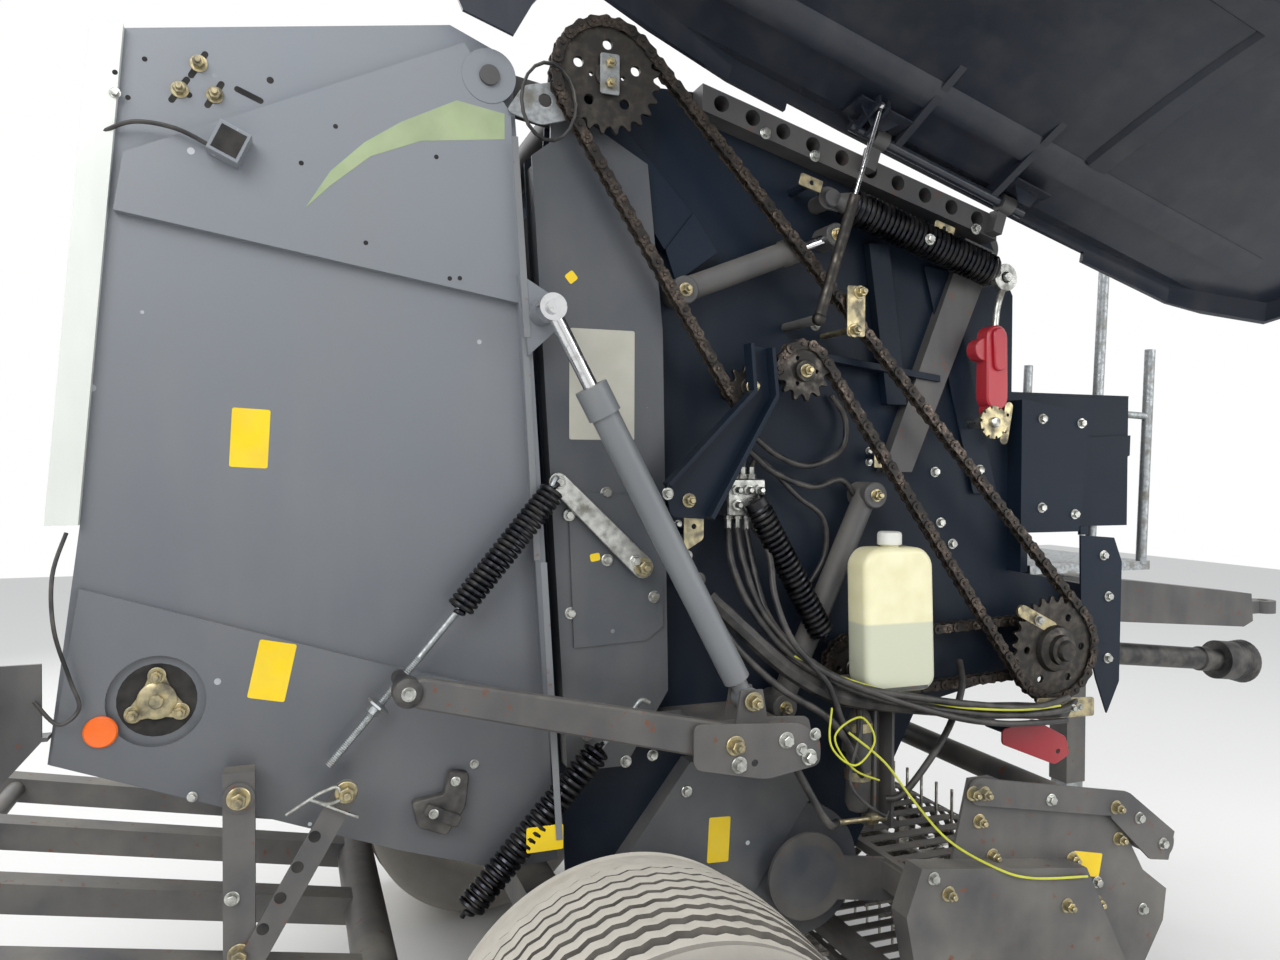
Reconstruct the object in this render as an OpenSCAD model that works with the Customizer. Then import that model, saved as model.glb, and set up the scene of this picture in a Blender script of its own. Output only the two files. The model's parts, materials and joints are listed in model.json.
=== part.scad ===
// Belt round baler with its right-hand side door open, in millimetres.
// X runs forward, Y to the machine's left and Z up. Right-hand pieces lie at negative Y.
// Points in the side plane are written [x, z], from the wheel axle and the ground.

/* [Wheels and axle] */
// Outer diameter of the main tyres
tyre_d = 870; // [820:5:900]
// Width of the main tyres
tyre_w = 490; // [400:10:500]
// Diameter of the wheel rims
rim_d = 440; // [400:10:480]
// Distance between the centre planes of the two tyres
track = 2040; // [2030:10:2100]
// Side of the square axle beam
axle_side = 110; // [90:5:130]

/* [Body] */
// Distance between the outer faces of the tailgate's side walls
body_w = 1320; // [1300:10:1330]
// Distance between the outer faces of the front frame's walls
bay_w = 1208; // [1190:2:1220]
// Thickness of the side walls
wall_t = 8; // [4:1:10]
// Opening angle that the right-hand door rests at
door_open = 96; // [80:1:105]
// Thickness of the door skins
door_t = 12; // [8:1:16]

/* [Drive] */
// Pitch of the main drive chain
chain_pitch = 31.75; // [25.4:6.35:31.75]
// Teeth on the upper sprocket
top_teeth = 24; // [22:1:26]
// Teeth on the main sprocket
main_teeth = 27; // [25:1:29]
// Width across the chain's outer plates
chain_w = 34; // [26:2:36]

/* [Pickup] */
// Width of the pickup between its side plates
pickup_w = 1960; // [1900:20:2000]
// Radius of the pickup reel out to its tine tips
tine_r = 290; // [280:2:296]
// Number of tine bars on the pickup reel
tine_bars = 4; // [4:1:5]

/* [Drawbar and hitch] */
// Height of the drawbar beam
drawbar_h = 150; // [120:5:160]
// Width of the drawbar beam
drawbar_w = 120; // [100:5:140]
// Bore of the hitch eye
hitch_bore = 40; // [30:1:50]

/* [Hidden] */
$fn = 48;

// Where the machine's own axle and centre plane lie from the part's origin
origin_x = -790;
origin_y = 410;

axle_z = tyre_d / 2;
wall_y = body_w / 2;
bay_y = bay_w / 2;
running = 0.05;
seat_gap = 0.3;

// Small helpers
module at_side(left) {
    if (left) mirror([0, 1, 0]) children();
    else children();
}
module both_sides() {
    children();
    mirror([0, 1, 0]) children();
}
// Plate in the side plane, from y_in to y_out on the right-hand side
module side_plate(outline, y_in, y_out) {
    translate([0, -y_in, 0]) rotate([90, 0, 0]) linear_extrude(y_out - y_in) polygon(outline);
}
// Round piece across the machine at [x, z], from y_in to y_out on the right-hand side
module boss(at, r, y_in, y_out) {
    translate([at.x, -y_in, at.y]) rotate([90, 0, 0]) cylinder(h = y_out - y_in, r = r);
}
// Round piece right across the machine
module cross_tube(at, r, half) {
    boss(at, r, -half, half);
}
// Straight round bar between two points
module bar(p, q, r) {
    v = q - p;
    translate(p) rotate([0, acos(v.z / norm(v)), atan2(v.y, v.x)]) cylinder(h = norm(v), r = r);
}
// Straight flat bar in the side plane, with its width across and round ends
module link(a, b, width, y_in, y_out) {
    d = b - a;
    translate([a.x, -y_in, a.y]) rotate([90, 0, 0]) linear_extrude(y_out - y_in)
        rotate(atan2(d.y, d.x)) union() {
            translate([0, -width / 2]) square([norm(d), width]);
            circle(width / 2);
            translate([norm(d), 0]) circle(width / 2);
        }
}
// Close-wound coil spring as one turned solid with a ridge for each turn
module coil(p, q, r, wire) {
    v = q - p;
    turns = floor(norm(v) / wire);
    step = norm(v) / turns;
    translate(p) rotate([0, acos(v.z / norm(v)), atan2(v.y, v.x)]) rotate_extrude()
        polygon(concat([[0, 0]],
            [for (i = [0:turns - 1], side = [0.12, 0.5, 0.88])
                [side == 0.5 ? r : r - wire * 0.55, (i + side) * step]],
            [[0, norm(v)]]));
}
function mirrored(p) = [p.x, -p.y, p.z];
function off(p, q, s) = p + (q - p) * (s / norm(q - p));

// Loop of chain or belt round wheels given as [x, z, radius, turn], turn +1 when it runs anticlockwise
function run_angle(a, b) = let (d = [b.x - a.x, b.y - a.y], k = a[2] * a[3] - b[2] * b[3])
    atan2(d.y, d.x) + atan2(k, sqrt(d * d - k * k));
function wrap_sweep(a, t_in, t_out) = let (s = (t_out - t_in) % 360)
    a[3] > 0 ? (s < 0 ? s + 360 : s) : (s > 0 ? s - 360 : s);
function loop_points(wheels, step, grow = 0) = [for (i = [0:len(wheels) - 1])
    let (a = wheels[i], b = wheels[(i + 1) % len(wheels)], before = wheels[(i + len(wheels) - 1) % len(wheels)],
        t_in = run_angle(before, a), t_out = run_angle(a, b), sweep = wrap_sweep(a, t_in, t_out),
        n = max(1, ceil(abs(sweep) / step)), r = a[2] + grow * a[3])
    for (j = [0:n]) let (ang = t_in - 90 * a[3] + sweep * j / n) [a.x + r * cos(ang), a.y + r * sin(ang)]];
module loop_band(wheels, thick, y_in, y_out, step = 20) {
    outer = loop_points(wheels, step, -thick / 2);
    inner = loop_points(wheels, step, thick / 2);
    translate([0, -y_in, 0]) rotate([90, 0, 0]) linear_extrude(y_out - y_in)
        polygon(concat(outer, inner),
            [[for (i = [0:len(outer) - 1]) i], [for (i = [0:len(inner) - 1]) len(outer) + i]]);
}

// Flat belt round rollers, its inner chords clear of their round faces
belt_step = 10;
module belt_loop(wheels, t, y_in, y_out) {
    inner = loop_points([for (w = wheels) [w.x, w.y, (w[2] + seat_gap) / cos(belt_step / 2), w[3]]], belt_step);
    outer = loop_points([for (w = wheels) [w.x, w.y, w[2] + seat_gap + t, w[3]]], belt_step);
    translate([0, -y_in, 0]) rotate([90, 0, 0]) linear_extrude(y_out - y_in) difference() {
        polygon(outer);
        polygon(inner);
    }
}

// Wheels and axle
tyre_y = track / 2;
hub_r = 90;
stub_r = 42;
hub_half = 60;
module wheel_tyre(left) {
    bead_w = tyre_w - 90;
    at_side(left) translate([0, -tyre_y, axle_z]) rotate([90, 0, 0]) rotate_extrude($fn = 72) polygon([
        [rim_d / 2, -bead_w / 2], [rim_d / 2 + 60, -tyre_w / 2 + 6], [tyre_d / 2 - 90, -tyre_w / 2],
        [tyre_d / 2 - 30, -tyre_w / 2 + 14], [tyre_d / 2 - 6, -tyre_w / 2 + 60], [tyre_d / 2, -tyre_w / 4],
        [tyre_d / 2, tyre_w / 4], [tyre_d / 2 - 6, tyre_w / 2 - 60], [tyre_d / 2 - 30, tyre_w / 2 - 14],
        [tyre_d / 2 - 90, tyre_w / 2], [rim_d / 2 + 60, tyre_w / 2 - 6], [rim_d / 2, bead_w / 2]]);
}
module tyre_left() { color("dimgray") wheel_tyre(true); }
module tyre_right() { color("dimgray") wheel_tyre(false); }
module wheel_rim(left) {
    half = tyre_w / 2 - 40;
    at_side(left) translate([0, -tyre_y, axle_z]) rotate([90, 0, 0]) difference() {
        rotate_extrude() polygon([[stub_r + running, -hub_half], [hub_r, -hub_half], [hub_r, 38], [hub_r + 70, 30],
            [rim_d / 2 - 30, 60], [rim_d / 2 - 30, -half + 10], [rim_d / 2 - 14, -half], [rim_d / 2, -half],
            [rim_d / 2, half], [rim_d / 2 - 14, half], [rim_d / 2 - 20, 72], [hub_r + 70, 50], [hub_r, 58],
            [hub_r - 25, hub_half], [stub_r + running, hub_half]]);
        for (i = [0:7]) rotate(i * 45) translate([hub_r + 45, 0, 0]) cylinder(h = 90, r = 12, $fn = 16);
    }
}
module rim_left() { color("firebrick") wheel_rim(true); }
module rim_right() { color("firebrick") wheel_rim(false); }
module axle() {
    color("dimgray") union() {
        translate([-axle_side / 2, -640, axle_z - axle_side / 2]) cube([axle_side, 1280, axle_side]);
        both_sides() {
            boss([0, axle_z], stub_r, 640, tyre_y + hub_half);
            // Uprights from the beam to the side walls, and arms back to the ramp's hinge pins
            side_plate([[-150, axle_z + axle_side / 2 - 5], [150, axle_z + axle_side / 2 - 5], [330, 638], [-20, 638]],
                bay_y, bay_y + 26);
            side_plate([[ramp_at.x - 50, ramp_at.y - 40], [-40, axle_z + 30], [-40, axle_z + 90], [ramp_at.x, ramp_at.y + 50],
                [ramp_at.x - 50, ramp_at.y + 40]], bay_y, bay_y + 18);
            boss(ramp_at, 24, bay_y - 44, bay_y);
        }
    }
}

// Radius of the ring that the pickup's lift arms turn on, and the arms' inner plane
lift_ring_r = 80;
arm_y = 692;
// Front frame: two walls that carry the bays, with their outer skins and cross beams
front_wall = [[-176, 2420], [-132, 2450], [-118, 2630], [250, 2640], [1130, 2400], [1240, 2200],
    [1240, 1420], [1500, 1370], [1500, 1130], [1240, 1120], [930, 1060], [735, 700], [700, 600], [640, 540], [430, 540], [60, 600], [-72, 740], [-100, 1195]];
rotor_at = [534, 681];
rotor_bore_r = 62;
main_shaft_r = 30;
rotor_shaft_r = 30;
module front_walls() {
    color("darkslategray") both_sides() difference() {
        side_plate(front_wall, bay_y - wall_t, bay_y);
        boss(rotor_at, rotor_bore_r, 500, 700);
        boss(main_at, main_shaft_r + 6, 500, 700);
    }
}
// Outer skins behind the bays, and the lower skins over the feed rotor
panel_front = [[-172, 2420], [-128, 2455], [-128, 2560], [110, 2430], [150, 2039], [168, 1172], [60, 1000], [-84, 1000]];
module side_panels() {
    color("dimgray") both_sides() {
        union() {
            side_plate(panel_front, wall_y - wall_t, wall_y);
            side_plate([[160, 1172], [168, 1172], [150, 2039], [142, 2039]], bay_y, wall_y);
            side_plate([[-170, 2400], [-84, 1010], [-76, 1010], [-162, 2400]], bay_y, wall_y);
            // Cover plate with its clipped corner
            side_plate([[-86, 1655], [146, 1640], [152, 1330], [110, 1298], [-70, 1290]], wall_y, wall_y + 6);
        }
        // Lower skin and the round housing of the rotor bearing
        difference() {
            union() {
                side_plate([[47, 760], [227, 990], [503, 975], [560, 860], [400, 640], [80, 640]], bay_y, wall_y);
                boss(rotor_at, 170, bay_y, wall_y - 6);
                boss(rotor_at, lift_ring_r, wall_y - 6, arm_y + 10);
            }
            // Bore for the rotor's shaft, closed outside by the bearing's cap
            boss(rotor_at, rotor_shaft_r + running, 500, wall_y - 6);
        }
    }
}
module frame_beams() {
    span = bay_y - wall_t;
    color("dimgray") union() {
        // Cross tubes between the walls
        for (at = [[-60, 2560], [1150, 2330], [1180, 1180], [60, 700], [180, 1060]])
            cross_tube(at, 45, span);
        // Arms back to the tailgate's hinge pins
        both_sides() {
            link([-90, 2545], tg_hinge, 90, bay_y, bay_y + 20);
            boss(tg_hinge, tg_pin_r, bay_y, wall_y + 34);
        }
        // Top boxes on both sides, with round lightening holes
        both_sides() difference() {
            side_plate([[250, 2575], [250, 2640], [1130, 2400], [1130, 2335]], bay_y, bay_y + 60);
            for (i = [0:9]) boss([300 + 85 * i, 2597 - 23.2 * i], 20, bay_y - 20, bay_y + 80);
        }
        // Slanting posts from the top box to the foot of the bay
        both_sides() side_plate([[1050, 2340], [1150, 2310], [880, 1700], [790, 1700]], bay_y, bay_y + 34);
        // Eyes that carry the doors' hinge tubes, and the feet of the door struts
        both_sides() {
            for (s = [60, 480]) difference() {
                union() {
                    bar(hinge_point(s - 20), hinge_point(s + 20), hinge_r + 10);
                    on_hinge_line() translate([s - 15, 0, -80]) cube([30, door_y - bay_y - 60, 80 - hinge_r - 4]);
                }
                bar(hinge_point(s - 100), hinge_point(s + 100), hinge_r + running);
            }
            boss(strut_foot, 12, bay_y, strut_y - strut_ball_r - seat_gap);
            // Shelf of the oil tank
            translate([640, -835, 1168]) cube([150, 167, 8]);
            translate([776, -668, 1168]) cube([14, 668 - bay_y, 8]);
        }
    }
}
module cylinder_brackets() {
    color("dimgray") both_sides() union() {
        side_plate([[70, 1050], [400, 1050], [400, 1117], [70, 1117]], bay_y, bay_y + 40);
        translate([210, -cyl_y - 46, 1109]) cube([190, cyl_y + 46 - bay_y, 8]);
        side_plate([[210, 1050], [400, 1050], [400, 1117], [210, 1117]], cyl_y + 38, cyl_y + 46);
        translate([392, -cyl_y - 46, 1050]) cube([8, cyl_y + 46 - bay_y, 67]);
        // Clevis and pin of the tailgate cylinder
        for (y = [cyl_y - 32, cyl_y + 24])
            side_plate([[270, 1117], [354, 1117], [340, 1196], [284, 1196]], y, y + 8);
        boss(cyl_foot, 15, cyl_y - 40, cyl_y + 40);
    }
}

// Tailgate cylinders
cyl_y = 790;
cyl_eye_half = 20;
cyl_foot = [312, 1172];
cyl_head = [-160, 2055];
cyl_dir = (cyl_head - cyl_foot) / norm(cyl_head - cyl_foot);
cyl_len = norm(cyl_head - cyl_foot);
barrel_len = cyl_len - 190;
function on_cyl(s) = [cyl_foot.x + cyl_dir.x * s, -cyl_y, cyl_foot.y + cyl_dir.y * s];
module cylinder_barrel(left) {
    at_side(left) difference() {
        union() {
            bar(on_cyl(0), on_cyl(60), 20);
            bar(on_cyl(52), on_cyl(barrel_len), 32);
            bar(on_cyl(barrel_len - 70), on_cyl(barrel_len), 38);
            boss(cyl_foot, 28, cyl_y - 22, cyl_y + 22);
        }
        boss(cyl_foot, 15 + running, cyl_y - 60, cyl_y + 60);
        bar(on_cyl(90), on_cyl(barrel_len + 10), 17 + running);
    }
}
module cylinder_barrel_left() { color("dimgray") cylinder_barrel(true); }
module cylinder_barrel_right() { color("dimgray") cylinder_barrel(false); }
module cylinder_rod(left) {
    at_side(left) union() {
        bar(on_cyl(110), on_cyl(cyl_len - 20), 17);
        boss(cyl_head, 30, cyl_y - cyl_eye_half, cyl_y + cyl_eye_half);
        boss(cyl_head, 16, cyl_y + cyl_eye_half, cyl_y + cyl_eye_half + 14);
    }
}
module cylinder_rod_left() { color("silver") cylinder_rod(true); }
module cylinder_rod_right() { color("silver") cylinder_rod(false); }

// Tailgate
tg_hinge = [-275, 2575];
tg_pin_r = 22;
tg_wall = [[-995, 2576], [-357, 2684], [-262, 2645], [-216, 2560], [-190, 2250], [-122, 1195], [-108, 800],
    [-243, 797], [-465, 869], [-1136, 1128], [-1078, 1595]];
module tailgate_frame() {
    color("dimgray") union() {
        both_sides() difference() {
            union() {
                side_plate(tg_wall, wall_y - wall_t, wall_y);
                // Raised upper panel, lower panel and the flange along the parting line
                side_plate([[-1014, 2212], [-200, 2078], [-226, 2500], [-330, 2640], [-996, 2326]], wall_y, wall_y + 24);
                side_plate([[-1078, 1471], [-486, 1278], [-140, 1178], [-112, 804], [-243, 801], [-465, 873], [-1130, 1130]],
                    wall_y, wall_y + 13);
                side_plate([[-208, 2084], [-184, 2084], [-124, 1172], [-148, 1172]], wall_y, wall_y + 30);
                side_plate([[-212, 2140], [-126, 2090], [-126, 2020], [-190, 1960]], wall_y + 7, wall_y + 50);
                boss(cyl_head, 30, wall_y + 20, cyl_y - cyl_eye_half - seat_gap);
                boss(tg_hinge, 60, wall_y, wall_y + 26);
            }
            boss([-943, 1239], 92, wall_y - 1, wall_y + 60);
            boss(tg_hinge, tg_pin_r + running, bay_y, wall_y + 60);
        }
        // Cross beams
        for (at = [[-960, 2530], [-1052, 1300], [-400, 2640]]) cross_tube(at, 34, wall_y - wall_t);
    }
}
module corner_columns() {
    color("beige") both_sides() union() {
        side_plate([[-995 - seat_gap, 2576], [-1078 - seat_gap, 1595], [-1136, 1595], [-1053, 2576]],
            wall_y - 120, wall_y + 18);
    }
}
belt_rollers = [[-900, 2430, 60, 1], [-943, 1239, 60, 1], [-330, 960, 60, 1], [-470, 2540, 60, 1]];
module tailgate_rollers() {
    color("gray") for (w = belt_rollers) union() {
        cross_tube([w.x, w.y], w[2], 640);
        cross_tube([w.x, w.y], 20, wall_y - wall_t);
    }
}
belt_count = 4;
belt_w = 285;
belt_gap = 305;
belt_t = 6;
module tailgate_belts() {
    color("#202022") for (i = [0:belt_count - 1]) let (y = (i - (belt_count - 1) / 2) * belt_gap)
        belt_loop(belt_rollers, belt_t, y - belt_w / 2, y + belt_w / 2);
}
front_rollers = [[60, 2450, 60, 1], [240, 1230, 60, 1], [1000, 1330, 60, 1], [1040, 2250, 60, 1]];
module chamber_rollers() {
    color("gray") union() {
        for (w = front_rollers) cross_tube([w.x, w.y], w[2], bay_y - wall_t);
    }
}
module chamber_belts() {
    color("#202022") for (i = [0:belt_count - 1]) let (y = (i - (belt_count - 1) / 2) * belt_gap)
        belt_loop(front_rollers, belt_t, y - belt_w / 2 + 10, y + belt_w / 2 - 10);
}
module rear_lamps() {
    color("orangered") both_sides() union() {
        side_plate([[-1140, 1330], [-1260, 1330], [-1260, 1180], [-1210, 1100], [-1140, 1180]], wall_y + 20, wall_y + 28);
        translate([-1290, -wall_y - 260, 1180]) cube([40, 280, 150]);
        translate([-1260, -wall_y - 28, 1180]) cube([130, 40, 8]);
    }
}

// Drive on the right-hand side
chain_y = 709;
function pitch_r(teeth) = chain_pitch / (2 * sin(180 / teeth));
main_at = [1300, 1212];
top_at = [-10, 2601];
idler_at = [504, 1950];
valley_at = [350, 1905];
main_loop = [[top_at.x, top_at.y, pitch_r(top_teeth), -1], [main_at.x, main_at.y, pitch_r(main_teeth), -1],
    [idler_at.x, idler_at.y, pitch_r(13), 1], [valley_at.x, valley_at.y, pitch_r(9), -1]];
// One tooth's outline: share of the tooth's angle, and height over the pitch circle
tooth = [[-0.5, -10.3], [-0.245, -9], [-0.19, -2], [-0.09, 7], [0.09, 7], [0.19, -2], [0.245, -9]];
module sprocket(at, teeth, y, t) {
    r = pitch_r(teeth);
    translate([at.x, -y, at.y]) rotate([90, 0, 0]) linear_extrude(t, center = true)
        polygon([for (i = [0:teeth - 1], p = tooth) let (a = (i + p.x) * 360 / teeth)
            [(r + p.y) * cos(a), (r + p.y) * sin(a)]]);
}
module sprockets() {
    color("#2c2a28") union() {
        for (s = [[top_at, top_teeth], [main_at, main_teeth], [idler_at, 13], [valley_at, 9]]) {
            sprocket(s[0], s[1], chain_y, 14);
            if (s[0] != main_at) boss(s[0], 26, bay_y, chain_y);
        }
        // Main shaft from the gearbox, and the second chain's two sprockets
        boss(main_at, 30, gearbox_half, chain_y + 60);
        sprocket(main_at, 15, 650, 10);
        sprocket(starter_at, 15, 650, 10);
        boss(starter_at, 26, bay_y, 650);
    }
}
starter_at = [690, 1190];
gearbox_half = 140;
module drive_chain() {
    color("#2b2725") difference() {
        loop_band(main_loop, 24, chain_y - chain_w / 2, chain_y + chain_w / 2, 12);
        loop_band(main_loop, 60, chain_y - 7.5, chain_y + 7.5, 12);
    }
}
rotor_loop = [[main_at.x, main_at.y, pitch_r(15), -1], [starter_at.x, starter_at.y, pitch_r(15), -1]];
module rotor_chain() {
    color("#2b2725") difference() {
        loop_band(rotor_loop, 22, 638, 662, 12);
        loop_band(rotor_loop, 60, 644.5, 655.5, 12);
    }
}
module gearbox() {
    color("darkslategray") union() {
        translate([1250, -gearbox_half, 1025]) cube([225, 2 * gearbox_half, 280]);
        bar([1475, 0, 1092], [1520, 0, 1087], 34);
    }
}

// Drawbar, hitch and driveline
cheek_out = bay_y - wall_t;
hitch_at = [3060, 1145];
module drawbar() {
    nose = [2880, 1150];
    color("dimgray") difference() {
        union() {
            rotate([90, 0, 0]) linear_extrude(drawbar_w, center = true) polygon([
                [1590, 1345], [2300, 1285], [2920, 1210], [2930, 1100], [2880, 1080], [2280, 1130], [1590, 1195]]);
            translate([2860, -20, 1120]) cube([hitch_at.x - 2860, 40, 50]);
            translate([hitch_at.x, 0, 1120]) cylinder(h = 50, r = 48);
            // Cross head that bolts to the front frame
            translate([1560, -cheek_out, 1190]) cube([30, 2 * cheek_out, 170]);
            both_sides() side_plate([[1228, 1135], [1560, 1135], [1590, 1190], [1590, 1360], [1245, 1370]],
                cheek_out - 20, cheek_out);
        }
        both_sides() boss(main_at, 30 + running, 500, 620);
        translate([hitch_at.x, 0, 1100]) cylinder(h = 100, r = hitch_bore / 2);
    }
}
pto_back = [1521, 0, 1087];
pto_front = [2960, 0, 925];
pto_bore_r = 17.5;
pto_bore_len = 90;
module pto_shaft() {
    color("#1c1c1e") difference() {
        union() {
            bar(pto_back, pto_front, 42);
            bar(off(pto_back, pto_front, 9), off(pto_back, pto_front, 170), 72);
            bar(off(pto_front, pto_back, 160), pto_front, 76);
        }
        bar(off(pto_front, pto_back, pto_bore_len), off(pto_front, pto_back, -10), pto_bore_r);
    }
}

// Belt tensioner: spring, turnbuckle and red lever on the right-hand side
module belt_tensioner() {
    color("#b01f35") union() {
        coil([640, -680, 2380], [1100, -680, 2240], 38, 12);
        bar([1100, -680, 2240], [1134, -680, 2228], 14);
        boss([1134, 2228], 34, 670, 690);
        bar([1134, -680, 2228], [1100, -680, 2090], 11);
        side_plate([[1068, 2080], [1132, 2080], [1132, 1880], [1068, 1880]], 665, 710);
        boss([1100, 2010], 30, bay_y, 680);
        bar([640, -680, 2380], [600, -640, 2392], 14);
        boss([600, 2392], 24, bay_y, 660);
    }
}
module density_linkage() {
    color("#b9a36a") union() {
        link([70, 1480], [-130, 1676], 44, wall_y + 24, wall_y + 34);
        boss([70, 1480], 24, wall_y + 6, wall_y + 38);
        coil([-140, -722, 1672], [-345, -722, 1403], 22, 9);
        boss([-136, 1674], 10, wall_y + 30, 735);
        bar([-340, -722, 1410], [-611, -722, 1094], 8);
        boss([-470, 1258], 27, 706, cyl_y + 58);
        link([-470, 1258], [250, 1085], 56, cyl_y + 46, cyl_y + 58);
        boss([250, 1085], 26, cyl_y + 46, cyl_y + 62);
    }
}

// Net box across the front, with its lid
module net_box() {
    color("#26282c") union() {
        difference() {
            translate([1240.3, -600, 1540]) cube([440, 1200, 380]);
            translate([1252, -590, 1552]) cube([416, 1180, 400]);
        }
        both_sides() side_plate([[1475, 1654], [1475, 1800], [1682, 1810], [1680, 1750]], 600, 608);
    }
}
net_hinge = [1241, 1930];
module net_lid() {
    color("#33363a") translate([1241, -600, 1920 + seat_gap]) cube([440, 1200, 8]);
}
module front_shields() {
    color("#17181b") both_sides() union() {
        side_plate([[1228, 1902], [1228, 1420], [1252, 1420], [1252, 1902]], bay_y, 660);
        side_plate([[1252, 1900], [1475, 1870], [1440, 1530], [1252, 1530]], 652, 660);
        side_plate([[1435, 1520], [1560, 1510], [1590, 1440], [1585, 1090], [1540, 1000], [1500, 1100], [1440, 1300]], 662, 668);
        for (at = [[1540, 1160], [1540, 1340]]) boss(at, 12, cheek_out, 662);
        side_plate([[1440, 1520], [1440, 1545], [1470, 1545], [1470, 1520]], 652, 662);
    }
}

// Oil tank, valve block and hoses in the right-hand bay
module oil_tank() {
    color("#dcd8a0") union() {
        side_plate([[640, 1500], [770, 1500], [790, 1478], [800, 1190], [785, 1176], [650, 1176], [630, 1195], [622, 1478]], 745, 835);
        translate([705, -790, 1500]) cylinder(h = 26, r = 22);
        translate([705, -790, 1526]) cylinder(h = 30, r = 30);
    }
}
module hydraulics() {
    color("#9c9a86") union() {
        translate([318, -690, 1600]) cube([84, 86, 76]);
        // Accumulator on its channel
        bar([650, -740, 870], [655, -740, 1140], 28);
        translate([690, -760, 800]) cube([50, 60, 350]);
        translate([640, -760, 1140]) cube([60, 40, 10]);
        translate([690, -700, 960]) cube([50, 700 - bay_y, 70]);
        // Lower slanting tube and the long tension cylinder
        bar([734, -650, 1653], [473, -650, 1098], 28);
        boss([473, 1110], 34, bay_y, 650);
        boss([734, 1640], 34, bay_y, 650);
        bar([194, -650, 2134], [623, -650, 2307], 25);
        boss([200, 2136], 30, bay_y, 650);
        boss([618, 2304], 30, bay_y, 650);
        coil([372, -712, 1600], [560, -712, 1290], 24, 9);
        // Fitting that the big hose leaves
        let (h = hose_routes[0], pts = smooth(h[1], 3)) bar(off(pts[0], pts[1], -60), pts[0], h[0]);
        boss([228, 1442], 16, bay_y, 700);
    }
}
// Routes of the held hoses, each with its radius
hose_routes = [
    [22, [[250, -712, 1400], [330, -745, 1320], [430, -770, 1230], [540, -790, 1165], [640, -800, 1140], [740, -810, 1125],
        [840, -812, 1110], [960, -805, 1090], [1100, -790, 1075], [1200, -770, 1060], [1300, -750, 1050]]]
];
function smooth(pts, n) = [for (i = [0:len(pts) - 2]) let (a = pts[max(0, i - 1)], b = pts[i], c = pts[i + 1],
    d = pts[min(len(pts) - 1, i + 2)])
    for (j = [0:n - (i == len(pts) - 2 ? 0 : 1)]) let (t = j / n)
        0.5 * (2 * b + (c - a) * t + (2 * a - 5 * b + 4 * c - d) * t * t + (3 * b - a - 3 * c + d) * t * t * t)];
// Round hose swept along points, its rings set by a direction that the route never follows
module sweep(pts, r, sides = 8, ref = [0, 1, 0]) {
    n = len(pts);
    rings = [for (i = [0:n - 1]) let (v = pts[min(n - 1, i + 1)] - pts[max(0, i - 1)], t = v / norm(v),
        u = cross(t, ref) / norm(cross(t, ref)), w = cross(t, u))
        for (k = [0:sides - 1]) pts[i] + r * (u * cos(k * 360 / sides) + w * sin(k * 360 / sides))];
    polyhedron(rings, concat([[for (k = [0:sides - 1]) k]],
        [for (i = [0:n - 2], k = [0:sides - 1]) let (a = i * sides + k, b = i * sides + (k + 1) % sides)
            [a, a + sides, b + sides, b]],
        [[for (k = [sides - 1:-1:0]) (n - 1) * sides + k]]));
}
module hoses() {
    color("#101012") for (h = hose_routes) sweep(smooth(h[1], 3), h[0]);
}

// Feed rotor and its floor
module feed_rotor() {
    color("#3a3c40") union() {
        cross_tube(rotor_at, 75, 560);
        for (i = [0:14]) for (k = [0:2]) translate([rotor_at.x, -525 + 75 * i, rotor_at.y])
            rotate([90, 0, 0]) rotate(k * 120 + i * 24)
            linear_extrude(10, center = true) polygon([[60, -40], [200, 10], [200, 22], [60, 40]]);
        both_sides() boss(rotor_at, rotor_shaft_r, 560, wall_y - 8);
    }
}
module feed_floor() {
    color("#3a3c40") union() {
        side_plate([[250, 420], [665, 403], [665, 415], [250, 432]], -590, 590);
        for (i = [0:13]) translate([340, -490 + 75 * i - 3, 420]) cube([140, 6, 70]);
        both_sides() side_plate([[250, 420], [330, 420], [480, 560], [430, 560]], 590, 596);
    }
}

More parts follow.
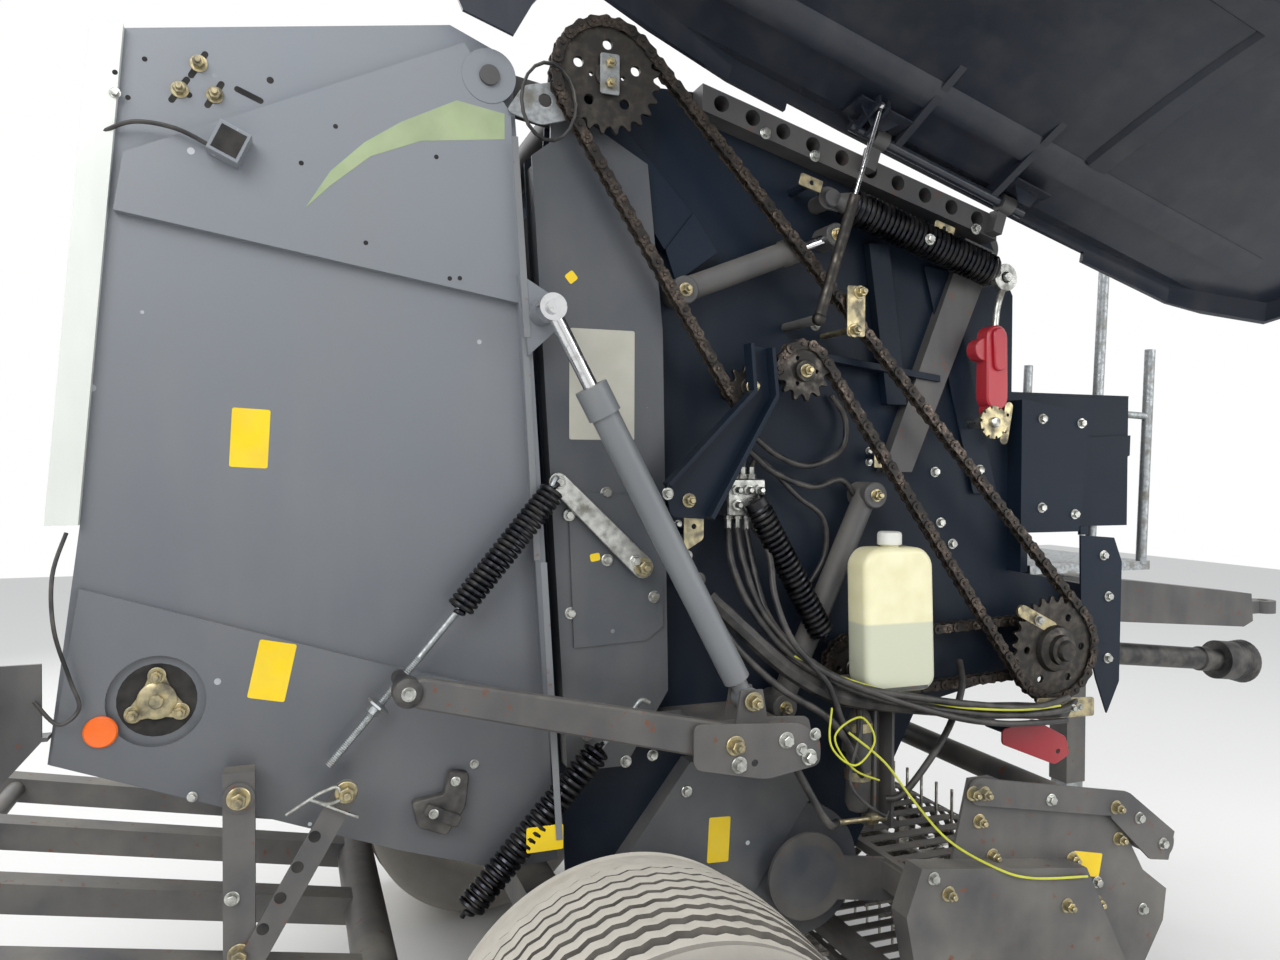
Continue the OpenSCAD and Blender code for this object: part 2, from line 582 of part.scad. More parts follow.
// Pickup
reel_at = [1090, 500];
gauge_at = [950, 315];
gauge_r = 190;
gauge_y = 1115;
gauge_w = 120;
gauge_pin_r = 16;
reel_shaft_r = 25;
guard_at = [814, 960];
guard_pin_r = 15;
band_r = 200;
bar_r = 150;
tine_step = 70;
pickup_side = [[720, 700], [790, 990], [850, 990], [1050, 905], [1225, 880], [1330, 700], [1410, 640], [1400, 560], [1300, 400],
    [1150, 320], [1000, 290], [740, 290], [700, 480]];
drive_cover = [[620, 825], [1089, 762], [1225, 495], [1180, 425], [640, 430], [580, 722]];
module pickup_frame() {
    half = pickup_w / 2;
    color("dimgray") union() {
        both_sides() {
            difference() {
                side_plate(pickup_side, half, half + 8);
                boss(reel_at, reel_shaft_r + running, half - 10, half + 8);
            }
            boss(guard_at, guard_pin_r, half, half + 32);
            boss(gauge_at, gauge_pin_r, half, gauge_y + gauge_w / 2 + 14);
            // Arm on the lift ring, with its cross piece out to the side plate
            difference() {
                union() {
                    boss(rotor_at, lift_ring_r + 30, arm_y, arm_y + 10);
                    link(rotor_at, [770, 640], 110, arm_y, arm_y + 10);
                }
                boss(rotor_at, lift_ring_r + running, arm_y - 10, arm_y + 20);
            }
            translate([752, -half, 620]) cube([46, half - arm_y, 70]);
        }
        // Drive cover on the right-hand side
        side_plate(drive_cover, half + 8, half + 66);
        // Cross beam and the two strips that carry the stripper bands
        translate([720, -half, 385]) cube([50, 2 * half, 50]);
        for (z = [band_r - 22, -band_r]) translate([reel_at.x - 330, -half, reel_at.y + z]) cube([22, 2 * half, 22]);
        for (i = [0:27]) translate([reel_at.x, -half + 45 + i * tine_step, reel_at.y]) rotate([90, 0, 0])
            linear_extrude(34, center = true) difference() {
                union() {
                    circle(band_r);
                    translate([-310, -band_r]) square([310, 2 * band_r]);
                }
                circle(band_r - 4);
                translate([-320, 4 - band_r]) square([320, 2 * band_r - 8]);
            }
    }
}
module rotate_at(at, angle) {
    translate([at.x, 0, at.y]) rotate([0, angle, 0]) translate([-at.x, 0, -at.y]) children();
}
module pickup_reel() {
    half = pickup_w / 2;
    color("#3a3c40") union() {
        cross_tube(reel_at, 50, half - 6);
        cross_tube(reel_at, reel_shaft_r, half + 8 - seat_gap);
        for (k = [0:tine_bars - 1]) rotate_at(reel_at, k * 360 / tine_bars) {
            cross_tube([reel_at.x + bar_r, reel_at.y], 16, half - 6);
            for (i = [0:26]) translate([reel_at.x + bar_r, -half + 80 + i * tine_step - 3, reel_at.y - 3])
                cube([tine_r - bar_r, 6, 6]);
        }
        for (y = [-half + 12, -320, 320, half - 12]) for (k = [0:tine_bars - 1])
            rotate_at(reel_at, k * 360 / tine_bars) translate([reel_at.x, y - 6, reel_at.y - 18]) cube([bar_r, 12, 36]);
    }
}
module gauge_wheel(left) {
    at_side(left) difference() {
        boss(gauge_at, gauge_r, gauge_y - gauge_w / 2, gauge_y + gauge_w / 2);
        boss(gauge_at, gauge_pin_r + running, gauge_y - gauge_w, gauge_y + gauge_w);
    }
}
module gauge_wheel_left() { color("#222222") gauge_wheel(true); }
module gauge_wheel_right() { color("#222222") gauge_wheel(false); }
module crop_guard() {
    half = pickup_w / 2;
    color("dimgray") union() {
        both_sides() difference() {
            union() {
                link(guard_at, [1250, 880], 62, half + 14, half + 22);
                side_plate([[1210, 905], [1270, 905], [1420, 790], [1400, 720], [1340, 730], [1210, 850]], half + 14, half + 22);
            }
            boss(guard_at, guard_pin_r + running, half, half + 40);
        }
        cross_tube([1380, 765], 38, half + 22);
    }
}

// Bale ramp
ramp_at = [-505, 545];
ramp_end = [-1520, 745];
// Inner plane of the posts, clear of the tailgate's flange
ramp_post_y = wall_y + 36;
module bale_ramp() {
    color("dimgray") union() {
        difference() {
            cross_tube(ramp_at, 52, bay_y - 5);
            both_sides() boss(ramp_at, 24 + running, bay_y - 45, bay_y);
        }
        for (y = [-560, -190, 190, 560]) translate([ramp_at.x, y, ramp_at.y])
            rotate([0, atan2(ramp_end.y - ramp_at.y, ramp_at.x - ramp_end.x), 0])
                translate([-norm(ramp_end - ramp_at), -35, -35]) cube([norm(ramp_end - ramp_at) - 40, 70, 70]);
        cross_tube([ramp_end.x + 60, ramp_end.y - 10], 25, 595);
        both_sides() {
            side_plate([[-818, 700], [-758, 700], [-758, 1100], [-818, 1100]], ramp_post_y, ramp_post_y + 50);
            link([-758, 735], [-583, 1040], 50, ramp_post_y + 50, ramp_post_y + 56);
            boss([-788, 1051], 30, ramp_post_y + 50, ramp_post_y + 56);
            translate([-818, -ramp_post_y - 50, 574]) cube([60, ramp_post_y + 50 - 560, 126]);
        }
    }
}

// Doors: a curved shell each, hung from an inclined hinge line along its top
hinge_a = [669, 2567];
hinge_b = [1195, 2401];
hinge_r = 14;
hinge_len = 540;
door_y = 700;
door_rim = 60;
hinge_dir = (hinge_b - hinge_a) / norm(hinge_b - hinge_a);
hinge_down = [hinge_dir.y, -hinge_dir.x];
hinge_tilt = -atan2(hinge_dir.y, hinge_dir.x);
function hinge_point(s) = [hinge_a.x + hinge_dir.x * s, -door_y, hinge_a.y + hinge_dir.y * s];
// How far the skin stands out of the hinge line, by its distance below that line
function door_bulge(d) = 35 + 210 * sin(125 * max(0, d) / 1300);
door_outline = [[-200, 2660], [-90, 2775], [330, 2713], [660, 2618], [1210, 2444], [1760, 2260], [2010, 2080],
    [2040, 1700], [1950, 1330], [1700, 1200], [1000, 1180], [200, 1240], [60, 1290], [-95, 2000]];
// Moves children from the frame of the hinge line: X along it, Y outwards is negative, Z up
module on_hinge_line() {
    translate([hinge_a.x, -door_y, hinge_a.y]) rotate([0, hinge_tilt, 0]) children();
}
// Curved sheet that follows the door's section, from inner to outer of its skin
module door_sheet(inner, outer) {
    depths = [for (d = [-80:80:1760]) d];
    on_hinge_line() translate([-1300, 0, 0]) rotate([90, 0, 90]) linear_extrude(3200) polygon(concat(
        [for (d = depths) [-door_bulge(d) - inner, -d]],
        [for (i = [len(depths) - 1:-1:0]) [-door_bulge(depths[i]) - outer, -depths[i]]]));
}
module door_shell() {
    union() {
        intersection() {
            side_plate(door_outline, door_y - 200, door_y + 400);
            door_sheet(0, door_t);
        }
        // Rim turned inwards all round, cut back along the hinge
        difference() {
            intersection() {
                translate([0, -door_y + 200, 0]) rotate([90, 0, 0]) linear_extrude(600) difference() {
                    polygon(door_outline);
                    offset(delta = -door_t) polygon(door_outline);
                }
                door_sheet(-door_rim, door_t);
            }
            on_hinge_line() translate([-200, -2, -300]) cube([1000, 400, 500]);
        }
        // Hinge tube on two ribs
        bar(hinge_point(-30), hinge_point(hinge_len), hinge_r);
        for (s = [100, 420]) on_hinge_line() translate([s, 0, 0]) rotate([90, 0, 90]) linear_extrude(20)
            polygon([[0, -hinge_r], [-door_bulge(240) - 2, -240], [-door_bulge(0) - 2, 0], [-door_bulge(0) - 2, hinge_r],
                [0, hinge_r]]);
        // Ears for the strut's eye
        for (s = [strut_s - 18, strut_s + 10]) on_hinge_line() rotate([-strut_phase, 0, 0])
            translate([s, -16, -strut_arm - 14]) cube([8, 32, strut_arm + 14]);
    }
}
// Turns a piece on the right-hand side outwards about the door's hinge line
module swung(angle) {
    on_hinge_line() rotate([-angle, 0, 0])
        rotate([0, -hinge_tilt, 0]) translate([-hinge_a.x, door_y, -hinge_a.y]) children();
}
module door_right() { color("#3c3e42") swung(door_open) door_shell(); }
module door_left() { color("#3c3e42") at_side(true) door_shell(); }

// Gas struts of the doors, in the plane square to the hinge line
strut_s = 0;
strut_drop = 520;
strut_arm = 85;
strut_phase = 20;
strut_y = 770;
strut_tube_len = 320;
strut_rod_len = 320;
strut_ball_r = 17;
strut_eye_r = 10 - seat_gap;
strut_top_axis = hinge_a + hinge_dir * strut_s;
strut_foot = strut_top_axis + hinge_down * strut_drop;
strut_base = [strut_foot.x, -strut_y, strut_foot.y];
function strut_eye(angle) = let (out = strut_arm * sin(angle + strut_phase), down = strut_arm * cos(angle + strut_phase))
    [strut_top_axis.x + hinge_down.x * down, -door_y - out, strut_top_axis.y + hinge_down.y * down];
module strut_tube(left, angle) {
    q = strut_eye(angle);
    at_side(left) difference() {
        union() {
            bar(strut_base, off(strut_base, q, strut_tube_len), 14);
            translate(strut_base) sphere(strut_ball_r);
        }
        bar(off(strut_base, q, 90), off(strut_base, q, strut_tube_len + 10), 6 + running);
    }
}
module strut_rod(left, angle) {
    q = strut_eye(angle);
    at_side(left) union() {
        bar(off(q, strut_base, strut_rod_len), q, 6);
        translate(q) sphere(strut_eye_r);
    }
}
module door_strut_right() { color("#222222") strut_tube(false, door_open); }
module door_strut_left() { color("#222222") strut_tube(true, 0); }
module door_strut_rod_right() { color("silver") strut_rod(false, door_open); }
module door_strut_rod_left() { color("silver") strut_rod(true, 0); }

// Steps' handrails at the front, and the parking jack
module handrails() {
    color("gray") union() {
        translate([1590.3, -300, 1360]) cube([520, 600, 30]);
        translate([1720, -60, 1334.3]) cube([360, 120, 26]);
        both_sides() {
            bar([1850, -290, 1380], [1900, -290, 2380], 17);
            bar([2080, -290, 1380], [2110, -290, 2120], 17);
            bar([1872, -290, 1900], [2101, -290, 1890], 12);
        }
    }
}
jack_at = [2150, 130];
module jack_tube() {
    color("dimgray") difference() {
        translate([jack_at.x - 45, 60, 500]) cube([90, 90, 800]);
        translate([jack_at.x - 40, 65, 490]) cube([80, 80, 790]);
    }
}
module jack_leg() {
    color("silver") union() {
        translate([jack_at.x - 40 + seat_gap, 65 + seat_gap, 12]) cube([80 - 2 * seat_gap, 80 - 2 * seat_gap, 900]);
        translate([jack_at.x - 110, -5, 0]) cube([220, 220, 12]);
    }
}

module placed() {
    translate([origin_x, origin_y, 0]) children();
}
placed() axle();
placed() front_walls();
placed() side_panels();
placed() frame_beams();
placed() drawbar();
placed() gearbox();
placed() pto_shaft();
placed() sprockets();
placed() drive_chain();
placed() rotor_chain();
placed() belt_tensioner();
placed() density_linkage();
placed() cylinder_brackets();
placed() net_box();
placed() net_lid();
placed() oil_tank();
placed() hydraulics();
placed() hoses();
placed() front_shields();
placed() chamber_belts();
placed() chamber_rollers();
placed() feed_floor();
placed() handrails();
placed() jack_tube();
placed() jack_leg();
placed() tyre_left();
placed() tyre_right();
placed() rim_left();
placed() rim_right();
placed() tailgate_frame();
placed() corner_columns();
placed() tailgate_belts();
placed() tailgate_rollers();
placed() rear_lamps();
placed() cylinder_barrel_left();
placed() cylinder_barrel_right();
placed() cylinder_rod_left();
placed() cylinder_rod_right();
placed() door_left();
placed() door_right();
placed() door_strut_left();
placed() door_strut_right();
placed() door_strut_rod_left();
placed() door_strut_rod_right();
placed() pickup_frame();
placed() pickup_reel();
placed() gauge_wheel_left();
placed() gauge_wheel_right();
placed() crop_guard();
placed() bale_ramp();
placed() feed_rotor();
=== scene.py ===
# %% [markdown]
# # A round baler with its side door open
#
# This lesson dresses a belt round baler: a towed machine that rolls hay into a bale between
# rubber belts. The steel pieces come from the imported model, at their real size, and this script
# gives them their finishes and adds the small things: tread, bolts, links, springs, hoses.
#
# Every length is in metres, and every piece goes where the frame says. Nothing from the frame
# is moved or reshaped here, so the joints of the machine still work.

# %% Load the frame
import bmesh
import bpy
import json
import math
from mathutils import Matrix, Vector

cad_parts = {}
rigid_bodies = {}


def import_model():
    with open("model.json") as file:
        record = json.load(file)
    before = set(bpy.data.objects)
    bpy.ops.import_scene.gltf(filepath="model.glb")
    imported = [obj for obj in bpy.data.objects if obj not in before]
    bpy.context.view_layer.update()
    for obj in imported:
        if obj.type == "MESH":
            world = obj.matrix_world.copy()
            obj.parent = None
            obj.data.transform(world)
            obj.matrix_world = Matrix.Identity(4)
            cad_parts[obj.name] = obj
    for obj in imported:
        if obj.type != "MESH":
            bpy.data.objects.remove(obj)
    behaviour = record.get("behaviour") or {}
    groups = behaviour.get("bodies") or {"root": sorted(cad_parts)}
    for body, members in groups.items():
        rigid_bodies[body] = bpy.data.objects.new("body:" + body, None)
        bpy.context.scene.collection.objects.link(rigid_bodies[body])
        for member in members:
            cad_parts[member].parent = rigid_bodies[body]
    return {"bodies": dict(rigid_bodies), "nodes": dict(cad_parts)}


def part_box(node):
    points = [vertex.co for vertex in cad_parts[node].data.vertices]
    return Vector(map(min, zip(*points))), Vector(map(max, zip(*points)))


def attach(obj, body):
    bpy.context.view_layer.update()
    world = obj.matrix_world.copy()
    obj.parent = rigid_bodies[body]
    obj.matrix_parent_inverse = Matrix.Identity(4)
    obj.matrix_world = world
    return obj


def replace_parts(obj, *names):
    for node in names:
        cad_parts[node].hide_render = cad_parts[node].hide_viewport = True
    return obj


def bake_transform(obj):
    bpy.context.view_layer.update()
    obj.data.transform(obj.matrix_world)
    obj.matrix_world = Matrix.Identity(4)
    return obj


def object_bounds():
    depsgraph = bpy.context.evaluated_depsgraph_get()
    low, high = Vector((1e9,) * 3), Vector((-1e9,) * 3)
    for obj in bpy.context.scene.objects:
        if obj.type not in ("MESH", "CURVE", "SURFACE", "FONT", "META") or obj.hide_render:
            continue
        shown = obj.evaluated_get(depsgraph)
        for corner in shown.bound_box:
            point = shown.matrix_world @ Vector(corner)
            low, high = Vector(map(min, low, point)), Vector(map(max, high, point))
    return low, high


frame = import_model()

nodes = frame["nodes"]
cad_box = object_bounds()

# %% [markdown]
# ## The machine's own axes
#
# A drawing of a vehicle measures from its wheel axle, its centre plane and the ground. The
# helper below takes such a point in millimetres, X forward and Y to the left, and gives its
# place in the frame. The axle is found from the two tyres, so nothing is typed in twice.

# %% Find the axle and the centre plane
tyre_low, tyre_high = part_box("tyre_right")
left_low, left_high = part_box("tyre_left")
AXLE_X = (tyre_low.x + tyre_high.x) / 2
CENTRE_Y = (tyre_low.y + left_high.y) / 2
TYRE_R = (tyre_high.z - tyre_low.z) / 2
TYRE_W = tyre_high.y - tyre_low.y


def at(x, y, z):
    """A point of the machine's drawing, in millimetres, as a place in the frame."""
    return Vector((AXLE_X + x / 1000, CENTRE_Y + y / 1000, z / 1000))


print("axle at", round(AXLE_X, 3), round(CENTRE_Y, 3), "tyre radius", round(TYRE_R, 3))

# %% [markdown]
# ## Camera
#
# A photograph taken by hand has no neat numbers. The camera is worked back from it: the pixel
# where all lines across the machine would meet gives the direction that the camera looks in,
# and a focal length in pixels gives the lens. The picture is taken as 1280 by 960 pixels.

# %% Set the camera
FRAME_WIDE, FRAME_HIGH = 1280, 960
FOCAL_PX = 962
# Pixel where the machine's crosswise lines meet, and the lean of its uprights
CROSSWISE_PX = (285, 462)
UPRIGHT_LEAN = 0.004
STAND_AT = at(-700, -2810, 1720)
SENSOR_MM = 36

across = Vector(((CROSSWISE_PX[0] - FRAME_WIDE / 2) / FOCAL_PX, (CROSSWISE_PX[1] - FRAME_HIGH / 2) / FOCAL_PX, 1))
up = Vector((UPRIGHT_LEAN, -1, 0))
up.z = -(up.x * across.x + up.y * across.y)
up.normalize()
across.normalize()
forward = across.cross(up)
# Rows are the frame's axes, seen in the camera's own right, down and ahead directions
seen = Matrix((forward, across, up))
turn = Matrix((seen.col[0], -seen.col[1], -seen.col[2])).transposed()
camera = bpy.data.objects.new("camera", bpy.data.cameras.new("camera"))
bpy.context.scene.collection.objects.link(camera)
camera.matrix_world = Matrix.Translation(STAND_AT) @ turn.to_4x4()
camera.data.sensor_width = SENSOR_MM
camera.data.lens = SENSOR_MM * FOCAL_PX / FRAME_WIDE
camera.data.clip_start = 0.05
camera.data.clip_end = 60
bpy.context.scene.camera = camera
print("lens", round(camera.data.lens, 2), "mm")

# %% [markdown]
# ## Colours and nodes
#
# Paint charts give colours as sRGB hex codes. Blender's shaders work with linear light, so one
# function turns a code into a linear colour. A second one adds a node to a tree: its options
# are keyword arguments, and its sockets are a dictionary whose values are either numbers or
# the sockets that feed them. Every material below is built from these two.

# %% Two small helpers
def colour(code):
    """An sRGB hex code as a linear colour."""
    parts = [int(code[i:i + 2], 16) / 255 for i in (1, 3, 5)]
    return tuple(p / 12.92 if p <= 0.04045 else ((p + 0.055) / 1.055) ** 2.4 for p in parts) + (1,)


def add(tree, kind, sockets=None, **options):
    """Adds one node: options are its own settings, sockets its values or what feeds them."""
    node = tree.nodes.new(kind)
    for name, value in options.items():
        setattr(node, name, value)
    for key, value in (sockets or {}).items():
        if isinstance(value, bpy.types.NodeSocket):
            tree.links.new(value, node.inputs[key])
        else:
            node.inputs[key].default_value = value
    return node


print("enamel grey is", [round(c, 3) for c in colour("#4a4c50")])

# %% [markdown]
# ## Patterns that several finishes share
#
# Dirt and wear are never even. `patches` gives soft-edged blotches of a chosen size from a
# noise texture, and `flecks` gives small round spots from the cells of a Voronoi texture.
# Both read object coordinates, which stay fixed to the steel when a joint moves it.

# %% Patterns
def new_finish(name, **shader_values):
    """A material with one Principled shader, and the object coordinates that its patterns use."""
    material = bpy.data.materials.new(name)
    material.use_nodes = True
    tree = material.node_tree
    tree.nodes.clear()
    shader = add(tree, "ShaderNodeBsdfPrincipled", {k.replace("_", " "): v for k, v in shader_values.items()})
    add(tree, "ShaderNodeOutputMaterial", {"Surface": shader.outputs["BSDF"]})
    return material, tree, shader, add(tree, "ShaderNodeTexCoord").outputs["Object"]


def patches(tree, place, size, low, high, detail=4, stretch=(1, 1, 1)):
    """Soft blotches about size metres across: 0 below low, 1 above high."""
    spread = add(tree, "ShaderNodeMapping", {"Vector": place, "Scale": stretch})
    noise = add(tree, "ShaderNodeTexNoise", {"Vector": spread.outputs[0], "Scale": 1 / size, "Detail": detail})
    return add(tree, "ShaderNodeMapRange", {"Value": noise.outputs[0], "From Min": low, "From Max": high}).outputs[0]


def flecks(tree, place, size, share):
    """Small spots in some of the cells of a grid of size metres."""
    cells = add(tree, "ShaderNodeTexVoronoi", {"Vector": place, "Scale": 1 / size})
    chosen = add(tree, "ShaderNodeSeparateColor", {"Color": cells.outputs["Color"]})
    radius = add(tree, "ShaderNodeMapRange", {"Value": chosen.outputs[0], "From Min": 1 - share, "From Max": 1,
                                              "To Min": 0, "To Max": 0.16})
    return add(tree, "ShaderNodeMath", {0: cells.outputs["Distance"], 1: radius.outputs[0]},
               operation="LESS_THAN").outputs[0]


def bumped(tree, shader, height, depth, strength=1.0):
    """Feeds a height pattern into the shader's normal, depth metres deep."""
    bump = add(tree, "ShaderNodeBump", {"Height": height, "Distance": depth, "Strength": strength})
    tree.links.new(bump.outputs[0], shader.inputs["Normal"])


print("patterns ready")

# %% [markdown]
# ## Painted sheet steel
#
# Most of this machine is sheet steel with stoved enamel. Seen close, enamel is not one colour:
# it has a faint orange-peel ripple from spraying, a film of dust that gathers low down and on
# faces that look up, streaks where rain and hay juice ran down, and white flecks. Each of those
# is one layer here, mixed over the paint by its own pattern.

# %% Enamel
DUST = "#8c877d"
ORANGE_PEEL = 0.004


def enamel(name, paint, shade, dust=0.35, roughness=0.4, spots=0.0, rust=0.0, streaks=0.25, sky=None, gloss=0.5):
    """Sprayed enamel with dust, streaks, flecks and rust in the shares given; sky is the tone of a painted sky
    reflection high up.
    """
    material, tree, shader, place = new_finish(name, Specular_IOR_Level=gloss)
    # The paint itself drifts between two close tones
    cloud = patches(tree, place, 0.45, 0.35, 0.7, detail=2)
    layers = add(tree, "ShaderNodeMix", {0: cloud, 6: colour(paint), 7: colour(shade)}, data_type="RGBA")
    if sky:
        # Painted reflection: high on a wall the colour turns to the pale sky's tone, in place of the gloss mirroring
        # the sky
        high = add(tree, "ShaderNodeMapRange", {"Value": add(tree, "ShaderNodeSeparateXYZ", {0: place}).outputs[2],
                                                "From Min": 0.9, "From Max": 2.6})
        layers = add(tree, "ShaderNodeMix", {0: high.outputs[0], 6: layers.outputs[2], 7: colour(sky)},
                     data_type="RGBA")
    # Streaks run down the walls, so their pattern is drawn out upright
    run = patches(tree, place, 0.11, 0.46, 0.85, detail=6, stretch=(1, 1, 0.16))
    run = add(tree, "ShaderNodeMath", {0: run, 1: streaks}, operation="MULTIPLY")
    layers = add(tree, "ShaderNodeMix", {0: run.outputs[0], 6: layers.outputs[2], 7: colour(DUST)}, data_type="RGBA")
    # Dust lies thicker low down and on faces that look up
    height = add(tree, "ShaderNodeSeparateXYZ", {0: place})
    low = add(tree, "ShaderNodeMapRange", {"Value": height.outputs[2], "From Min": 1.5, "From Max": 0.35,
                                           "To Min": 0.25, "To Max": 1.0})
    facing = add(tree, "ShaderNodeSeparateXYZ", {0: add(tree, "ShaderNodeNewGeometry").outputs["Normal"]})
    shelf = add(tree, "ShaderNodeMapRange", {"Value": facing.outputs[2], "From Min": 0.3, "From Max": 0.9,
                                             "To Min": 0.0, "To Max": 0.9})
    settle = add(tree, "ShaderNodeMath", {0: low.outputs[0], 1: shelf.outputs[0]}, operation="ADD")
    film = add(tree, "ShaderNodeMath", {0: patches(tree, place, 0.16, 0.32, 0.72, detail=8), 1: settle.outputs[0]},
               operation="MULTIPLY")
    film = add(tree, "ShaderNodeMath", {0: film.outputs[0], 1: dust}, operation="MULTIPLY", use_clamp=True)
    layers = add(tree, "ShaderNodeMix", {0: film.outputs[0], 6: layers.outputs[2], 7: colour(DUST)}, data_type="RGBA")
    if spots:
        dots = add(tree, "ShaderNodeMath", {0: flecks(tree, place, 0.045, spots),
                                            1: patches(tree, place, 0.3, 0.45, 0.6)}, operation="MULTIPLY")
        layers = add(tree, "ShaderNodeMix", {0: dots.outputs[0], 6: layers.outputs[2], 7: colour("#b9bcc0")},
                     data_type="RGBA")
    if rust:
        spread = patches(tree, place, 0.03, 0.66 - 0.12 * rust, 0.74, detail=10)
        layers = add(tree, "ShaderNodeMix", {0: spread, 6: layers.outputs[2], 7: colour("#6b3f26")}, data_type="RGBA")
    tree.links.new(layers.outputs[2], shader.inputs["Base Color"])
    rough = add(tree, "ShaderNodeMapRange", {"Value": film.outputs[0], "To Min": roughness, "To Max": 0.85})
    tree.links.new(rough.outputs[0], shader.inputs["Roughness"])
    ripple = add(tree, "ShaderNodeTexNoise", {"Vector": place, "Scale": 1 / ORANGE_PEEL, "Detail": 1})
    dents = add(tree, "ShaderNodeTexNoise", {"Vector": place, "Scale": 3.0, "Detail": 1})
    height = add(tree, "ShaderNodeMath", {0: dents.outputs[0], 1: 30.0, 2: ripple.outputs[0]}, operation="MULTIPLY_ADD")
    bumped(tree, shader, height.outputs[0], 0.00015)
    return material


print("dust on the enamel is", DUST)

# %% Enamels of this machine
# Stoved enamel of the side walls: hard and even, with a faint ripple in its gloss
anthracite = enamel("anthracite_stoved_enamel", "#494c52", "#41454b", dust=0.38, spots=0.12, roughness=0.34,
                    streaks=0.1)
# Chassis enamel: thick over the welds, dull with dust, and rusty where it is chipped
frame_grey = enamel("chassis_grey_enamel", "#4a4a4c", "#414143", dust=0.5, roughness=0.5, rust=0.15)
# Tailgate enamel: a tone bluer, and paler high up, where a painted reflection of the sky is mixed into its colour
tailgate_grey_painted_reflection = enamel("tailgate_grey_enamel", "#515459", "#4a4d53", dust=0.25, spots=0.14, roughness=0.3, streaks=0.12,
                       sky="#83888f")
# Enamel on a cylinder's barrel: smooth, since a turned tube takes paint well
barrel_grey = enamel("cylinder_grey_enamel", "#75797d", "#6a6e72", dust=0.3, roughness=0.38)
# Enamel of the bay: a dark blue made near black by painted shade, for the shade that the bay lies in; it stays clean
# behind the shut door
charcoal_painted_shade = enamel("charcoal_bay_enamel", "#14202f", "#0f1926", dust=0.05, roughness=0.5, streaks=0.03, gloss=0.2)
# Lacquer of the doors: the glossiest sheet on the machine
door_lacquer = enamel("door_gloss_lacquer", "#272d39", "#20252f", dust=0.14, roughness=0.24, streaks=0.1)
# Enamel of the corner columns: nearly white, with a breath of green
pale_column = enamel("pale_green_enamel", "#e2e5e0", "#d6dad4", dust=0.15, roughness=0.45)
# Signal red enamel: for rims, and for what the hand has to find
red_enamel = enamel("signal_red_enamel", "#b81c30", "#9c1527", dust=0.25, roughness=0.35)
# Enamel on cast iron: rough from the mould's sand, so it holds the most dirt
cast_grey = enamel("cast_iron_grey_enamel", "#38393c", "#2f3032", dust=0.6, roughness=0.6, rust=0.3)
print("enamels:", len(bpy.data.materials))

# %% [markdown]
# ## Bare and plated metal
#
# Zinc plating is bright where it is new and turns dull and yellowish where the chromate film
# ages. Oiled chain steel is nearly black with brown grease, and shows bare metal where it
# rubs. Hard chrome on a cylinder's rod is a mirror with a thin oil film. They share one
# function: a metal with two tones, a grime layer, and a roughness that varies with the grime.

# %% Metal finishes
def metal(name, bright, dull, grime, grime_share=0.4, roughness=(0.3, 0.6), grain=0.02, brushed=(1, 1, 1)):
    """A bare or plated metal; grime lies in the share given and roughness runs between two values."""
    material, tree, shader, place = new_finish(name, Metallic=1.0)
    tone = patches(tree, place, grain, 0.35, 0.65, detail=6, stretch=brushed)
    layers = add(tree, "ShaderNodeMix", {0: tone, 6: colour(bright), 7: colour(dull)}, data_type="RGBA")
    cover = patches(tree, place, 0.04, 0.62 - 0.35 * grime_share, 0.8 - 0.3 * grime_share, detail=8)
    layers = add(tree, "ShaderNodeMix", {0: cover, 6: layers.outputs[2], 7: colour(grime)}, data_type="RGBA")
    tree.links.new(layers.outputs[2], shader.inputs["Base Color"])
    bare = add(tree, "ShaderNodeMapRange", {"Value": cover, "To Min": 1.0, "To Max": 0.25})
    tree.links.new(bare.outputs[0], shader.inputs["Metallic"])
    mixed = add(tree, "ShaderNodeMath", {0: tone, 1: cover}, operation="MAXIMUM")
    rough = add(tree, "ShaderNodeMapRange", {"Value": mixed.outputs[0], "To Min": roughness[0], "To Max": roughness[1]})
    tree.links.new(rough.outputs[0], shader.inputs["Roughness"])
    bumped(tree, shader, tone, 0.0002)
    return material


# Yellow chromate over zinc: a warm tint that turns grey with age
zinc_yellow = metal("yellow_chromate_zinc", "#bdb08a", "#96907a", "#5f5a4c", grime_share=0.3, roughness=(0.35, 0.6))
# Clear zinc plate: cool and bright, as on new bolts
zinc_clear = metal("clear_zinc_plate", "#c6c7c2", "#9b9c98", "#6b685f", grime_share=0.25, roughness=(0.25, 0.5))
# Hot-dip galvanising: dull silver with a fine spangle
galvanised = metal("hot_dip_galvanised", "#a9adaf", "#8f9395", "#77756d", grime_share=0.3, roughness=(0.4, 0.6),
                   grain=0.012)
# Chain steel in oil: brown and nearly black, and bare where it rubs
chain_steel = metal("oiled_chain_steel", "#6a6058", "#3a332e", "#1d1915", grime_share=0.75, roughness=(0.3, 0.55),
                    grain=0.006)
# Sprocket steel: grey plate under the same grease
sprocket_steel = metal("greasy_sprocket_steel", "#55514c", "#3b3936", "#262321", grime_share=0.6, roughness=(0.35, 0.6))
# Steel that crop slides over: polished, with brown juice beside the bright parts
worn_steel = metal("crop_polished_steel", "#b5b2ab", "#8f8b84", "#6a5f4e", grime_share=0.35, roughness=(0.2, 0.5))
# Hard chrome: a mirror under a thin film of oil
hard_chrome = metal("hard_chrome", "#d9dadb", "#cfd0d1", "#8a857a", grime_share=0.1, roughness=(0.06, 0.2))
# Spring steel in black lacquer: a thin highlight runs along every turn
spring_black = metal("black_lacquered_spring_steel", "#34353a", "#26272b", "#1b1a19", grime_share=0.5,
                     roughness=(0.22, 0.45))
print("finishes:", len(bpy.data.materials))

